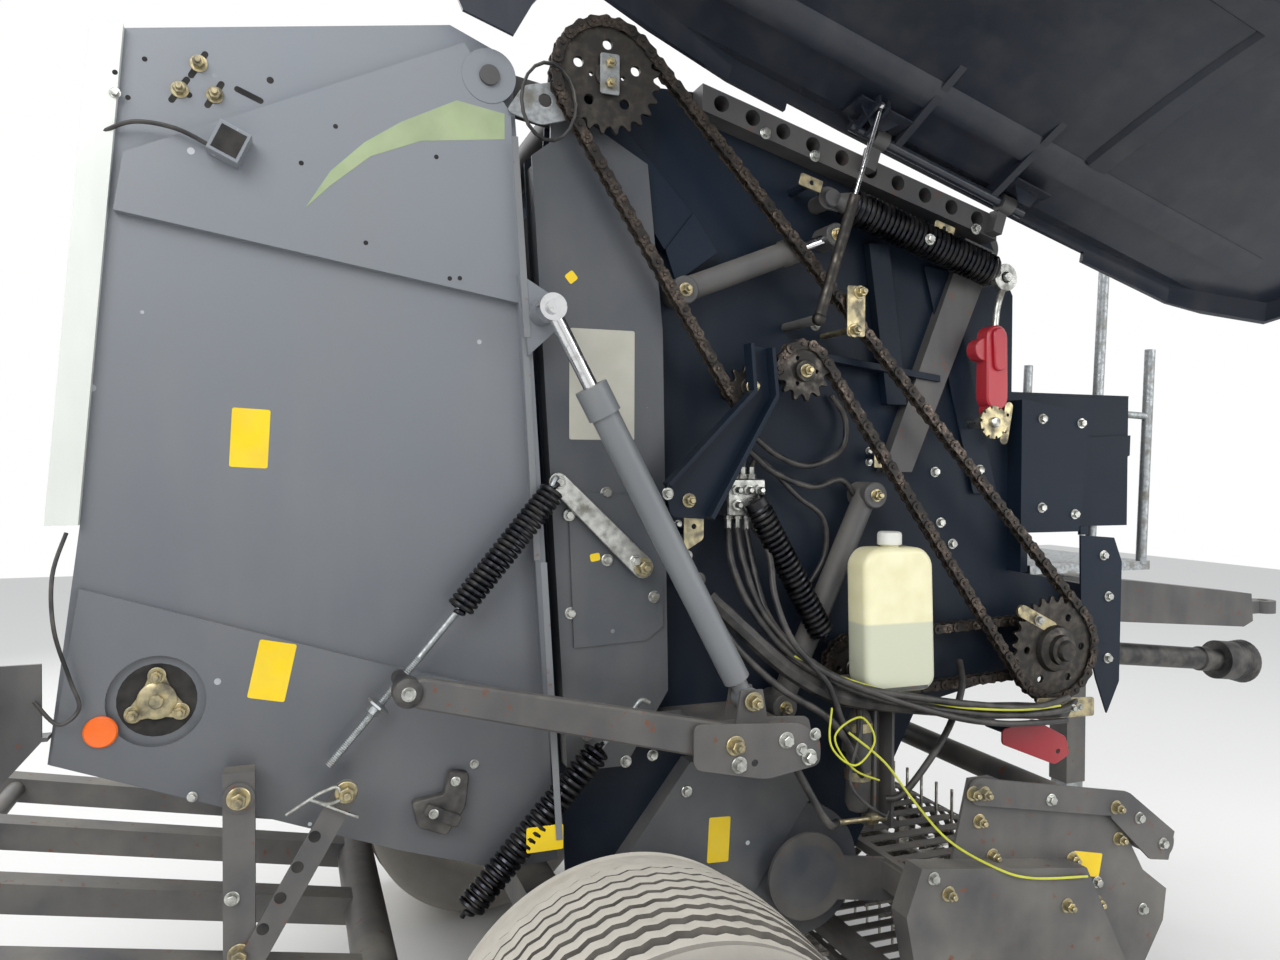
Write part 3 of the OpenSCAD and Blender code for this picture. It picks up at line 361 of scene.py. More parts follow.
# %% [markdown]
# ## Rubber, plastics and lenses
#
# Rubber scatters light and has almost no gloss; a field tyre is paler than it is black, because
# dried mud stays in its pores. Blow-moulded polyethylene lets some light in, which a little
# subsurface scattering shows. Lamp lenses are clear plastic in one strong colour.

# %% Rubber and plastic finishes
def moulded(name, base, worn, dust=0.3, roughness=0.6, grain=0.003, depth=0.0002, **extra):
    """Rubber or plastic in two tones with dust on it, and a moulded grain of that size in metres."""
    material, tree, shader, place = new_finish(name, **extra)
    tone = patches(tree, place, 0.08, 0.35, 0.7, detail=6)
    layers = add(tree, "ShaderNodeMix", {0: tone, 6: colour(base), 7: colour(worn)}, data_type="RGBA")
    film = add(tree, "ShaderNodeMath", {0: patches(tree, place, 0.05, 0.4, 0.75, detail=10), 1: dust},
               operation="MULTIPLY")
    layers = add(tree, "ShaderNodeMix", {0: film.outputs[0], 6: layers.outputs[2], 7: colour("#a19b91")},
                 data_type="RGBA")
    tree.links.new(layers.outputs[2], shader.inputs["Base Color"])
    rough = add(tree, "ShaderNodeMapRange", {"Value": film.outputs[0], "To Min": roughness, "To Max": 0.95})
    tree.links.new(rough.outputs[0], shader.inputs["Roughness"])
    pores = add(tree, "ShaderNodeTexNoise", {"Vector": place, "Scale": 1 / grain, "Detail": 4})
    bumped(tree, shader, pores.outputs[0], depth)
    return material


print("a grain of 3 mm has a scale of", round(1 / 0.003))

# %% Side walls of a tyre
def bare_sidewalls(material, rubber):
    """The side walls keep more of the rubber's own grey than the tread, which runs in the dust."""
    tree = material.node_tree
    shader = next(node for node in tree.nodes if node.type == "BSDF_PRINCIPLED")
    dusty = shader.inputs["Base Color"].links[0].from_socket
    facing = add(tree, "ShaderNodeSeparateXYZ", {0: add(tree, "ShaderNodeNewGeometry").outputs["Normal"]})
    side = add(tree, "ShaderNodeMath", {0: facing.outputs[1]}, operation="ABSOLUTE")
    share = add(tree, "ShaderNodeMapRange", {"Value": side.outputs[0], "From Min": 0.55, "From Max": 0.95,
                                             "To Max": 0.75})
    mixed = add(tree, "ShaderNodeMix", {0: share.outputs[0], 6: dusty, 7: colour(rubber)}, data_type="RGBA")
    tree.links.new(mixed.outputs[2], shader.inputs["Base Color"])


# Tyre rubber: matt, and pale with dried mud on the tread
tyre_rubber = moulded("dusty_tyre_rubber", "#cbc5b9", "#d3cdc1", dust=0.3, roughness=0.9, grain=0.006, depth=0.0006)
bare_sidewalls(tyre_rubber, "#716e69")
print("nodes in the tyre's finish:", len(tyre_rubber.node_tree.nodes))

# %% Rubber, plastics and films
# Belt rubber: matt black, its textured face rubbed grey
belt_rubber = moulded("ribbed_belt_rubber", "#2b2c2c", "#303130", dust=0.07, roughness=0.75, grain=0.004)
# Hose rubber: smooth and black, with a faint sheen
hose_rubber = moulded("hydraulic_hose_rubber", "#161618", "#202022", dust=0.2, roughness=0.45)
# Guard plastic: black polyethylene, a little waxy
black_plastic = moulded("black_guard_plastic", "#1d1d1f", "#28282a", dust=0.3, roughness=0.5)
# Blow-moulded polyethylene: milky, because light goes a little way in
tank_plastic = moulded("blow_moulded_polyethylene", "#d8d5ae", "#cfcb9f", dust=0.06, roughness=0.38, depth=0.00005,
                       Subsurface_Weight=0.25, Subsurface_Radius=(0.02, 0.018, 0.01), Subsurface_Scale=0.5)
# Polypropylene of the tank's cap: whiter than the tank, and clean
cap_plastic = moulded("white_cap_plastic", "#dcdcd6", "#d2d2ca", dust=0.2, roughness=0.45)
# Vinyl film: flat colour with a soft gloss and no grain to speak of
safety_film = moulded("yellow_vinyl_film", "#f0cd10", "#e6c30c", dust=0.12, roughness=0.35, depth=0.00002)
# Metallised film: the same vinyl in dull silver
data_film = moulded("silver_vinyl_film", "#b5b3a8", "#aba99d", dust=0.12, roughness=0.4, depth=0.00002)
# Acrylic lenses: strong, even colour under a hard gloss
amber_lens = moulded("amber_lens_plastic", "#ee6a10", "#e4600a", dust=0.08, roughness=0.2, depth=0.00002)
red_lens = moulded("red_lens_plastic", "#a8141c", "#9a1018", dust=0.1, roughness=0.2, depth=0.00002)
print("finishes:", len(bpy.data.materials))

# %% [markdown]
# ## Finishes on the frame's own pieces
#
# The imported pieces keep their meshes. Only the material in their slot is changed, so one table
# of finish to nodes is all that this step needs.

# %% Assign the finishes
FINISH_OF = [
    (anthracite, ["side_panels"]),
    (tailgate_grey_painted_reflection, ["tailgate_frame"]),
    (barrel_grey, ["cylinder_barrel_left", "cylinder_barrel_right"]),
    (frame_grey, ["axle", "frame_beams", "drawbar", "cylinder_brackets", "pickup_frame", "crop_guard", "bale_ramp",
                  "jack_tube", "rear_lamps"]),
    (charcoal_painted_shade, ["front_walls", "front_shields", "net_box", "net_lid"]),
    (door_lacquer, ["door_left", "door_right"]),
    (pale_column, ["corner_columns"]),
    (red_enamel, ["rim_left", "rim_right", "belt_tensioner"]),
    (cast_grey, ["gearbox"]),
    (zinc_yellow, ["density_linkage", "hydraulics"]),
    (galvanised, ["handrails", "jack_leg"]),
    (chain_steel, ["drive_chain", "rotor_chain"]),
    (sprocket_steel, ["sprockets"]),
    (worn_steel, ["chamber_rollers", "tailgate_rollers", "feed_rotor", "feed_floor", "pickup_reel"]),
    (hard_chrome, ["cylinder_rod_left", "cylinder_rod_right", "door_strut_rod_left", "door_strut_rod_right"]),
    (sprocket_steel, ["door_strut_left", "door_strut_right"]),
    (tyre_rubber, ["tyre_left", "tyre_right"]),
    (belt_rubber, ["chamber_belts", "tailgate_belts", "gauge_wheel_left", "gauge_wheel_right"]),
    (hose_rubber, ["hoses"]),
    (black_plastic, ["pto_shaft"]),
    (tank_plastic, ["oil_tank"]),
]
for material, names in FINISH_OF:
    for name in names:
        nodes[name].material_slots[0].material = material
print("nodes without a finish:", sorted(set(nodes) - {n for _, names in FINISH_OF for n in names}))

# %% [markdown]
# ## Round forms
#
# The small pieces are drawn in the machine's millimetres, like its drawing. Each helper returns
# plain lists of points and faces. Bars, wires and hoses are a circle swept along a path, and
# pins, bushes and discs are a profile turned about an axis, as a lathe makes them.

# %% Rods and turned pieces
def ring_frames(points):
    """A sideways pair of directions at every point of a path, turning as little as they can."""
    count = len(points)
    ways = [(points[min(count - 1, i + 1)] - points[max(0, i - 1)]).normalized() for i in range(count)]
    side = ways[0].orthogonal().normalized()
    for way in ways:
        side = (side - way * side.dot(way)).normalized()
        yield side, way.cross(side)


def rod(points, radius, sides=12):
    """A round rod along a path, capped at both ends; radius may be one number or one per point."""
    points = [Vector(p) for p in points]
    radii = radius if isinstance(radius, (list, tuple)) else [radius] * len(points)
    verts = [p + r * (math.cos(a) * side + math.sin(a) * other)
             for p, r, (side, other) in zip(points, radii, ring_frames(points))
             for a in (2 * math.pi * k / sides for k in range(sides))]
    faces = [(i * sides + k, i * sides + (k + 1) % sides, (i + 1) * sides + (k + 1) % sides, (i + 1) * sides + k)
             for i in range(len(points) - 1) for k in range(sides)]
    last = (len(points) - 1) * sides
    return verts, faces + [tuple(range(sides))[::-1], tuple(last + k for k in range(sides))]


def turned(start, end, profile, sides=28):
    """A turned piece on the axis from start to end; its profile has (mm from start, radius) pairs."""
    start, end = Vector(start), Vector(end)
    way = (end - start).normalized()
    side = way.orthogonal().normalized()
    other = way.cross(side)
    verts = [start + way * t + r * (math.cos(a) * side + math.sin(a) * other)
             for t, r in profile for a in (2 * math.pi * k / sides for k in range(sides))]
    faces = [(i * sides + k, i * sides + (k + 1) % sides, (i + 1) * sides + (k + 1) % sides, (i + 1) * sides + k)
             for i in range(len(profile) - 1) for k in range(sides)]
    last = (len(profile) - 1) * sides
    return verts, faces + [tuple(range(sides))[::-1], tuple(last + k for k in range(sides))]


def disc(x, z, radius, y_in, y_out, chamfer=1.5):
    """A round boss or washer on the right-hand side, its axis across the machine."""
    length = y_out - y_in
    return turned((x, -y_in, z), (x, -y_out, z),
                  [(0, radius), (length - chamfer, radius), (length, radius - chamfer)])


print("a washer has", len(disc(0, 0, 12, 0, 3)[1]), "faces")

# %% [markdown]
# ## Bent forms
#
# A spring maker winds wire on a mandrel and turns the last coils in as hooks, so `coil` draws
# its ends in to the axis. A tube bender can't make a sharp corner, so `bent` rounds every one.

# %% Coils and bends
def coil(start, end, radius, wire, turns, sides=8, step=16):
    """A helical spring from start to end, its last half turns bent in to the axis as hooks."""
    start, end = Vector(start), Vector(end)
    way = (end - start).normalized()
    side = way.orthogonal().normalized()
    other = way.cross(side)
    count = int(turns * step)
    path = []
    for i in range(count + 1):
        share = i / count
        near_end = min(share, 1 - share) * turns
        r = radius * min(1, 0.15 + near_end)
        a = 2 * math.pi * turns * share
        path.append(start + (end - start) * share + r * (math.cos(a) * side + math.sin(a) * other))
    return rod([start - way * wire * 2] + path + [end + way * wire * 2], wire, sides)


def bent(points, reach=30, steps=5):
    """The path through these points with every corner rounded off, as a tube bender leaves it."""
    points = [Vector(p) for p in points]
    path = [points[0]]
    for before, here, after in zip(points, points[1:], points[2:]):
        a = here + (before - here).normalized() * min(reach, (before - here).length * 0.45)
        b = here + (after - here).normalized() * min(reach, (after - here).length * 0.45)
        path += [a.lerp(here, t).lerp(here.lerp(b, t), t) for t in (k / steps for k in range(steps + 1))]
    return path + [points[-1]]


print("a bend has", len(bent([(0, 0, 0), (100, 0, 0), (100, 100, 0)])), "points")

# %% [markdown]
# ## Flat forms
#
# Plates are cut from sheet along a side outline, with round holes. A filled 2D curve does this
# well: it cuts the holes, gives the plate its thickness and breaks its edges in one go.

# %% Outlines
def rounded(outline, radius, steps=4):
    """A closed side outline with its corners rounded off."""
    points = [Vector((x, z)) for x, z in outline]
    result = []
    for i, here in enumerate(points):
        before, after = points[i - 1], points[(i + 1) % len(points)]
        reach = min(radius, (before - here).length * 0.45, (after - here).length * 0.45)
        a = here + (before - here).normalized() * reach
        b = here + (after - here).normalized() * reach
        result += [tuple(a.lerp(here, t).lerp(here.lerp(b, t), t)) for t in (k / steps for k in range(steps + 1))]
    return result


def bar_outline(start, end, width_start, width_end=None):
    """Side outline of a flat bar with round ends, which may taper."""
    width_end = width_end or width_start
    a, b = Vector(start), Vector(end)
    lean = math.atan2(b.y - a.y, b.x - a.x)
    half = [lean + math.pi / 2 + math.pi * k / 8 for k in range(9)]
    return [(a.x + width_start / 2 * math.cos(t), a.y + width_start / 2 * math.sin(t)) for t in half] + \
        [(b.x + width_end / 2 * math.cos(t + math.pi), b.y + width_end / 2 * math.sin(t + math.pi)) for t in half]


print("a bar's outline has", len(bar_outline((0, 0), (100, 0), 20)), "corners")

# %% Plates
def flat_plate(outline, y_in, y_out, holes=(), edge=0.8, corner=0, round_steps=0):
    """A plate on the right-hand side with this side outline; holes are (x, z, radius)."""
    flat = bpy.data.curves.new("flat", "CURVE")
    flat.dimensions = "2D"
    flat.fill_mode = "BOTH"
    flat.extrude = max(0.05, (y_out - y_in) / 2 - edge)
    flat.bevel_depth = edge
    flat.bevel_resolution = round_steps
    if corner:
        outline = rounded(outline, corner)
    rims = [outline] + [[(x + r * math.cos(a), z + r * math.sin(a)) for a in (math.pi * k / 9 for k in range(18))]
                        for x, z, r in holes]
    for rim in rims:
        spline = flat.splines.new("POLY")
        spline.points.add(len(rim) - 1)
        spline.use_cyclic_u = True
        for point, (x, z) in zip(spline.points, rim):
            point.co = (x, z, 0, 1)
    holder = bpy.data.objects.new("flat", flat)
    bpy.context.scene.collection.objects.link(holder)
    mesh = bpy.data.meshes.new_from_object(holder.evaluated_get(bpy.context.evaluated_depsgraph_get()))
    middle = (y_in + y_out) / 2
    verts = [Vector((v.co.x, -middle - v.co.z, v.co.y)) for v in mesh.vertices]
    faces = [tuple(p.vertices) for p in mesh.polygons]
    bpy.data.objects.remove(holder)
    bpy.data.curves.remove(flat)
    bpy.data.meshes.remove(mesh)
    return verts, faces


print("a plain bar has", len(flat_plate(bar_outline((0, 0), (100, 0), 20), 0, 5)[1]), "faces")

# %% [markdown]
# ## From forms to pieces
#
# `show` gathers forms into one mesh, gives it a finish, and ties it to the body that carries a
# named node, so that it moves with that node's joint.

# %% Pieces
def carrier(node):
    """The body that carries a node of the frame."""
    return next(name for name, empty in frame["bodies"].items() if nodes[node].parent == empty)


def mesh_of(name, forms, smooth=40):
    """One mesh from several forms, its normals outward and its round faces smooth."""
    verts, faces = [], []
    for form_verts, form_faces in forms:
        faces += [tuple(len(verts) + i for i in face) for face in form_faces]
        verts += form_verts
    mesh = bpy.data.meshes.new(name)
    mesh.from_pydata([at(*v) for v in verts], [], faces)
    work = bmesh.new()
    work.from_mesh(mesh)
    bmesh.ops.remove_doubles(work, verts=work.verts, dist=1e-6)
    bmesh.ops.recalc_face_normals(work, faces=work.faces)
    for face in work.faces:
        face.smooth = True
    for line in work.edges:
        line.smooth = line.calc_face_angle(math.pi) < math.radians(smooth)
    work.to_mesh(mesh)
    work.free()
    return mesh


def show(name, finish, forms, rides_with, both=False):
    """Shows these forms as one piece that moves with a node's body; both adds the mirrored side."""
    if both:
        forms = list(forms) + [([Vector((v[0], -v[1], v[2])) for v in verts], faces) for verts, faces in forms]
    mesh = mesh_of(name, forms)
    mesh.materials.append(finish)
    piece = bpy.data.objects.new(name, mesh)
    bpy.context.scene.collection.objects.link(piece)
    if rides_with:
        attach(piece, carrier(rides_with))
    return piece


# %% [markdown]
# ## One node tree for everything that repeats
#
# Bolts, chain links and spring tines repeat by the hundred. A Geometry Nodes tree puts one part
# on every vertex of a mesh, turned as that vertex's own `turn` attribute says, then makes it
# real and gives it a finish. Its inputs are set by their socket identifiers, and the result is
# turned into a plain mesh, so nothing is left to evaluate.

# %% The tree
def build_tree():
    """Part on every point: the tree's own inputs are returned by name."""
    tree = bpy.data.node_groups.new("part_on_points", "GeometryNodeTree")
    sockets = {}
    for label, kind in (("Points", "NodeSocketGeometry"), ("Part", "NodeSocketObject"),
                        ("Finish", "NodeSocketMaterial"), ("Spin", "NodeSocketFloat"), ("Seed", "NodeSocketInt")):
        sockets[label] = tree.interface.new_socket(label, in_out="INPUT", socket_type=kind).identifier
    tree.interface.new_socket("Pieces", in_out="OUTPUT", socket_type="NodeSocketGeometry")
    given = add(tree, "NodeGroupInput").outputs
    part = add(tree, "GeometryNodeObjectInfo", {"Object": given["Part"]})
    turn = add(tree, "GeometryNodeInputNamedAttribute", {"Name": "turn"}, data_type="FLOAT_VECTOR")
    aimed = add(tree, "FunctionNodeEulerToRotation", {"Euler": turn.outputs["Attribute"]})
    # Each copy is spun about its own axis, as a spanner leaves bolts
    spun = add(tree, "FunctionNodeRandomValue", {"Max": given["Spin"], "Seed": given["Seed"]}, data_type="FLOAT")
    about = add(tree, "ShaderNodeCombineXYZ", {"Z": spun.outputs["Value"]})
    own = add(tree, "FunctionNodeEulerToRotation", {"Euler": about.outputs[0]})
    both = add(tree, "FunctionNodeRotateRotation", {"Rotation": aimed.outputs[0], "Rotate By": own.outputs[0]},
               rotation_space="LOCAL")
    copies = add(tree, "GeometryNodeInstanceOnPoints", {"Points": given["Points"], "Instance": part.outputs["Geometry"],
                                                        "Rotation": both.outputs[0]})
    real = add(tree, "GeometryNodeRealizeInstances", {"Geometry": copies.outputs[0]})
    dressed = add(tree, "GeometryNodeSetMaterial", {"Geometry": real.outputs[0], "Material": given["Finish"]})
    add(tree, "NodeGroupOutput", {0: dressed.outputs[0]})
    return tree, sockets


scatter_tree, tree_inputs = build_tree()
print("nodes in the tree:", len(scatter_tree.nodes))

# %% [markdown]
# ## Using the tree
#
# A prototype is one part about its own origin, with its axis along Z. `scatter` hands it to the
# tree with the places it goes to. The prototypes themselves are taken out at the end.

# %% Prototypes
patterns = []


def prototype(name, forms, smooth=40):
    """A part for the tree to copy, drawn about its own origin in millimetres; it isn't shown itself."""
    mesh = mesh_of(name, forms, smooth)
    for vertex in mesh.vertices:
        vertex.co -= at(0, 0, 0)
    part = bpy.data.objects.new(name, mesh)
    bpy.context.scene.collection.objects.link(part)
    patterns.append(part)
    return part


def facing(direction):
    """Rotation that turns a part's Z axis to this direction."""
    return Vector(direction).to_track_quat("Z", "Y").to_matrix()


OUTWARD = facing((0, -1, 0))
INWARD = facing((0, 1, 0))
print("out of the right-hand side:", [round(v) for v in OUTWARD.col[2]])

# %% Scatter
def scatter(name, part, finish, spots, rides_with, spin=0.0, seed=1):
    """Copies of a part at spots of (place in mm, rotation as a 3x3 matrix), as one mesh."""
    holder_mesh = bpy.data.meshes.new(name + "_points")
    holder_mesh.from_pydata([at(*place) for place, _ in spots], [], [])
    turn = holder_mesh.attributes.new("turn", "FLOAT_VECTOR", "POINT")
    for entry, (_, rotation) in zip(turn.data, spots):
        entry.vector = rotation.to_euler()
    holder = bpy.data.objects.new(name + "_points", holder_mesh)
    bpy.context.scene.collection.objects.link(holder)
    modifier = holder.modifiers.new("copies", "NODES")
    modifier.node_group = scatter_tree
    for label, value in (("Part", part), ("Finish", finish), ("Spin", float(spin)), ("Seed", seed)):
        modifier[tree_inputs[label]] = value
    bpy.context.view_layer.update()
    mesh = bpy.data.meshes.new_from_object(holder.evaluated_get(bpy.context.evaluated_depsgraph_get()))
    mesh.name = name
    bpy.data.objects.remove(holder)
    piece = bpy.data.objects.new(name, mesh)
    bpy.context.scene.collection.objects.link(piece)
    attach(piece, carrier(rides_with))
    return piece


print("inputs of the tree:", sorted(tree_inputs))

# %% [markdown]
# ## Bolts
#
# A bolt on this machine is a hexagon head on a washer, or a nut with the thread's end standing
# out of it. Both are drawn once, in two sizes.

# %% Bolt patterns
def hexagon(size, bottom, top):
    """A hexagon of that width across its flats, its upper corners turned off."""
    reach = size / math.sqrt(3)
    sides = [(reach * math.cos(math.pi * k / 3), reach * math.sin(math.pi * k / 3)) for k in range(6)]
    rings = [(bottom, 1.0), (top - size * 0.06, 1.0), (top, 0.88)]
    verts = [Vector((x * s, y * s, z)) for z, s in rings for x, y in sides]
    faces = [(6 * r + k, 6 * r + (k + 1) % 6, 6 * r + 6 + (k + 1) % 6, 6 * r + 6 + k)
             for r in range(2) for k in range(6)]
    return verts, faces + [(5, 4, 3, 2, 1, 0), tuple(range(12, 18))]


def fastener(name, size, nut=False):
    """Head or nut with its washer, for that width across the flats."""
    washer = turned((0, 0, 0), (0, 0, 1), [(-0.5, size * 0.82), (size * 0.1, size * 0.82),
                                           (size * 0.14, size * 0.76)], 20)
    forms = [washer, hexagon(size, size * 0.14, size * (0.85 if nut else 0.7))]
    if nut:
        forms.append(turned((0, 0, 0), (0, 0, 1), [(size * 0.8, size * 0.31), (size * 1.25, size * 0.31),
                                                   (size * 1.32, size * 0.25)], 14))
    return prototype(name, forms, 30)


head_19, head_24, head_13 = fastener("head_19", 18), fastener("head_24", 24), fastener("head_13", 13)
nut_24, nut_30 = fastener("nut_24", 21, nut=True), fastener("nut_30", 28, nut=True)
print("bolt patterns:", len(patterns))

# %% [markdown]
# ## Roller chains
#
# A roller chain is links of two kinds in turn: an inner link holds the rollers, an outer link
# holds the pins. The chain's path is found from its sprockets, as lines that touch the pitch
# circles and the arcs between them. Pins then go along the path a pitch apart, and a link goes
# between each pin and the next.

# %% Layout of the drive
PITCH = 31.75
# How far out from the centre plane the bay's wall and the two chains lie
BAY_WALL = 604
CHAIN_Y = 709
ROTOR_CHAIN_Y = 650
# Shafts of the drive, as (x, z)
TOP_SHAFT, MAIN_SHAFT, ROTOR_SHAFT = (-10, 2601), (1300, 1212), (690, 1190)
IDLER, TENSIONER = (504, 1950), (350, 1905)
# Sprockets in the order that each chain meets them: teeth, and -1 for clockwise or 1 for the other way
MAIN_LOOP = [(*TOP_SHAFT, 24, -1), (*MAIN_SHAFT, 27, -1), (*IDLER, 13, 1), (*TENSIONER, 9, -1)]
ROTOR_LOOP = [(*MAIN_SHAFT, 15, -1), (*ROTOR_SHAFT, 15, -1)]


def pitch_radius(teeth):
    """Radius of the circle on which a sprocket carries the pins."""
    return PITCH / (2 * math.sin(math.pi / teeth))


print("radius of the main sprocket's pitch circle:", round(pitch_radius(27), 1), "mm")

# %% Path of a chain
def chain_path(loop, step=2.0):
    """Points along a loop of (x, z, teeth, side), a step in mm apart."""
    wheels = [(Vector((x, z)), side * pitch_radius(teeth)) for x, z, teeth, side in loop]
    lines = []
    for i, (here, reach) in enumerate(wheels):
        there, next_reach = wheels[(i + 1) % len(wheels)]
        gap = there - here
        lean = math.atan2(gap.y, gap.x) + math.acos((next_reach - reach) / gap.length)
        normal = Vector((math.cos(lean), math.sin(lean)))
        lines.append((here - normal * reach, there - normal * next_reach))
    path = []
    for i, (here, reach) in enumerate(wheels):
        come, leave = lines[i - 1][1] - here, lines[i][0] - here
        start, end = math.atan2(come.y, come.x), math.atan2(leave.y, leave.x)
        sweep = (start - end) % (2 * math.pi) if reach < 0 else -((end - start) % (2 * math.pi))
        count = max(2, int(abs(sweep * reach) / step))
        path += [here + abs(reach) * Vector((math.cos(start - sweep * k / count), math.sin(start - sweep * k / count)))
                 for k in range(count)]
        run = lines[i][1] - lines[i][0]
        count = max(2, int(run.length / step))
        path += [lines[i][0] + run * (k / count) for k in range(count)]
    return path


main_path, rotor_path = chain_path(MAIN_LOOP), chain_path(ROTOR_LOOP)
print("points on the paths:", len(main_path), "and", len(rotor_path))

# %% Pins along the path
def pins_along(path):
    """Pin centres an even pitch apart round the whole loop."""
    closed = path + [path[0]]
    lengths = [(b - a).length for a, b in zip(closed, closed[1:])]
    total = sum(lengths)
    count = 2 * round(total / PITCH / 2)
    pins, walked, i = [], 0.0, 0
    for k in range(count):
        goal = total * k / count
        while walked + lengths[i] < goal:
            walked += lengths[i]
            i += 1
        pins.append(closed[i].lerp(closed[i + 1], (goal - walked) / lengths[i]))
    return pins


main_pins, rotor_pins = pins_along(main_path), pins_along(rotor_path)
print("links:", len(main_pins), "and", len(rotor_pins))

# %% [markdown]
# ## Links
#
# A link's plates are waisted, because the steel between two pins carries less there. Rollers
# belong to the inner link and pins to the outer one, and each kind is every second link.

# %% Links
def link_plate(y_in, y_out):
    """Waisted plate round two pins a pitch apart, its length along X and its faces across Y."""
    half, high = PITCH / 2, 13.5
    arc = [math.radians(a) for a in range(-75, 76, 25)]
    right = [(half + high * math.cos(a), high * math.sin(a)) for a in arc]
    outline = right + [(0, high * 0.74)] + [(-x, z) for x, z in reversed(right)] + [(0, -high * 0.74)]
    return flat_plate(outline, y_in, y_out, edge=0.6)


half = PITCH / 2
rollers = [turned((x, -8, 0), (x, 8, 0), [(0, 9.3), (16, 9.3)], 12) for x in (-half, half)]
pins = [turned((x, -19, 0), (x, 19, 0), [(0, 4.2), (1, 5), (37, 5), (38, 4.2)], 8) for x in (-half, half)]
inner_link = prototype("inner_link", [link_plate(8.2, 11.6), link_plate(-11.6, -8.2)] + rollers)
outer_link = prototype("outer_link", [link_plate(12, 15.6), link_plate(-15.6, -12)] + pins)


def links(name, pins_at, y, start, part, node):
    """Every second link of a chain, from the pin numbered start."""
    spots = []
    for i in range(start, len(pins_at), 2):
        a, b = pins_at[i], pins_at[(i + 1) % len(pins_at)]
        lean = math.atan2(b.y - a.y, b.x - a.x)
        middle = (a + b) / 2
        spots.append(((middle.x, -y, middle.y), Matrix.Rotation(-lean, 3, "Y")))
    return scatter(name, part, chain_steel, spots, node)


chain_inner = links("drive_chain_inner_links", main_pins, CHAIN_Y, 0, inner_link, "drive_chain")
chain_outer = links("drive_chain_outer_links", main_pins, CHAIN_Y, 1, outer_link, "drive_chain")
rotor_inner = links("rotor_chain_inner_links", rotor_pins, ROTOR_CHAIN_Y, 0, inner_link, "rotor_chain")
rotor_outer = links("rotor_chain_outer_links", rotor_pins, ROTOR_CHAIN_Y, 1, outer_link, "rotor_chain")
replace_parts(chain_inner, "drive_chain")
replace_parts(rotor_inner, "rotor_chain")
print("chain faces:", sum(len(c.data.polygons) for c in (chain_inner, chain_outer, rotor_inner, rotor_outer)))

# %% [markdown]
# ## Sprockets in step with the chain
#
# A tooth has to stand between two rollers. Each sprocket is turned so that the pin nearest to
# it lies in a gap. The larger ones are pierced with rings of round holes.

# %% Sprockets
TOOTH = [(-0.5, -9.6), (-0.36, -8.6), (-0.25, -5), (-0.17, 0), (-0.1, 5.6), (-0.05, 7.4), (0.05, 7.4), (0.1, 5.6),
         (0.17, 0), (0.25, -5), (0.36, -8.6)]


def sprocket(x, z, teeth, y, thick, pins_at, holes=()):
    """A toothed plate whose gaps hold the chain's pins."""
    radius = pitch_radius(teeth)
    nearest = min(pins_at, key=lambda p: abs((p - Vector((x, z))).length - radius))
    phase = math.atan2(nearest.y - z, nearest.x - x) + math.pi / teeth
    outline = [(x + (radius + high) * math.cos(a), z + (radius + high) * math.sin(a))
               for k in range(teeth) for share, high in TOOTH
               for a in (phase + (k + share) * 2 * math.pi / teeth,)]
    return flat_plate(outline, y - thick / 2, y + thick / 2, holes, edge=1.2)


def ring_of(x, z, radius, count, hole, start=0.0):
    """Centres of holes in a ring, each with its radius."""
    return [(x + radius * math.cos(start + 2 * math.pi * k / count),
             z + radius * math.sin(start + 2 * math.pi * k / count), hole)
            for k in range(count)]


top_holes = ring_of(*TOP_SHAFT, 72, 5, 13, 0.3) + ring_of(*TOP_SHAFT, 38, 4, 6)
sprocket_forms = [sprocket(*TOP_SHAFT, 24, CHAIN_Y, 12, main_pins, top_holes),
                  sprocket(*MAIN_SHAFT, 27, CHAIN_Y, 12, main_pins, ring_of(*MAIN_SHAFT, 95, 6, 11)),
                  sprocket(*IDLER, 13, CHAIN_Y, 14, main_pins, ring_of(*IDLER, 36, 3, 6)),
                  sprocket(*TENSIONER, 9, CHAIN_Y, 14, main_pins),
                  sprocket(*MAIN_SHAFT, 15, ROTOR_CHAIN_Y, 12, rotor_pins),
                  sprocket(*ROTOR_SHAFT, 15, ROTOR_CHAIN_Y, 12, rotor_pins, ring_of(*ROTOR_SHAFT, 42, 4, 8))]
for shaft, hub, y_out, chain_y in ((TOP_SHAFT, 30, 724, CHAIN_Y), (IDLER, 27, 728, CHAIN_Y),
                                   (TENSIONER, 22, 726, CHAIN_Y), (ROTOR_SHAFT, 27, 668, ROTOR_CHAIN_Y)):
    sprocket_forms += [disc(*shaft, 26, BAY_WALL, chain_y), disc(*shaft, hub, y_out - 30, y_out)]
# Main shaft: hub, dished flange, cone and the shaft's end
main_hub = [(0, 28), (560, 28), (560, 66), (574, 66), (590, 60), (598, 42), (612, 40), (616, 30), (624, 28), (629, 24)]
sprocket_forms.append(turned((MAIN_SHAFT[0], -140, MAIN_SHAFT[1]), (MAIN_SHAFT[0], -769, MAIN_SHAFT[1]), main_hub, 36))
sprockets = show("sprockets_in_step", sprocket_steel, sprocket_forms, "sprockets")
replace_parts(sprockets, "sprockets")
print("sprocket faces:", len(sprockets.data.polygons))

# %% [markdown]
# ## Tyres
#
# An implement tyre runs on plain ribs round its tread. The ribs' edges zig-zag, and the groove
# between two ribs is a few millimetres deep. The tyre is one profile, turned in small steps,
# whose groove edges swing from side to side as it turns.

# %% Sizes of the tread
RIBS = 11
ZIGZAGS = 54
GROOVE_DEEP = 12
# Sideways swing of a groove's edge, in mm
SWING = 4.5
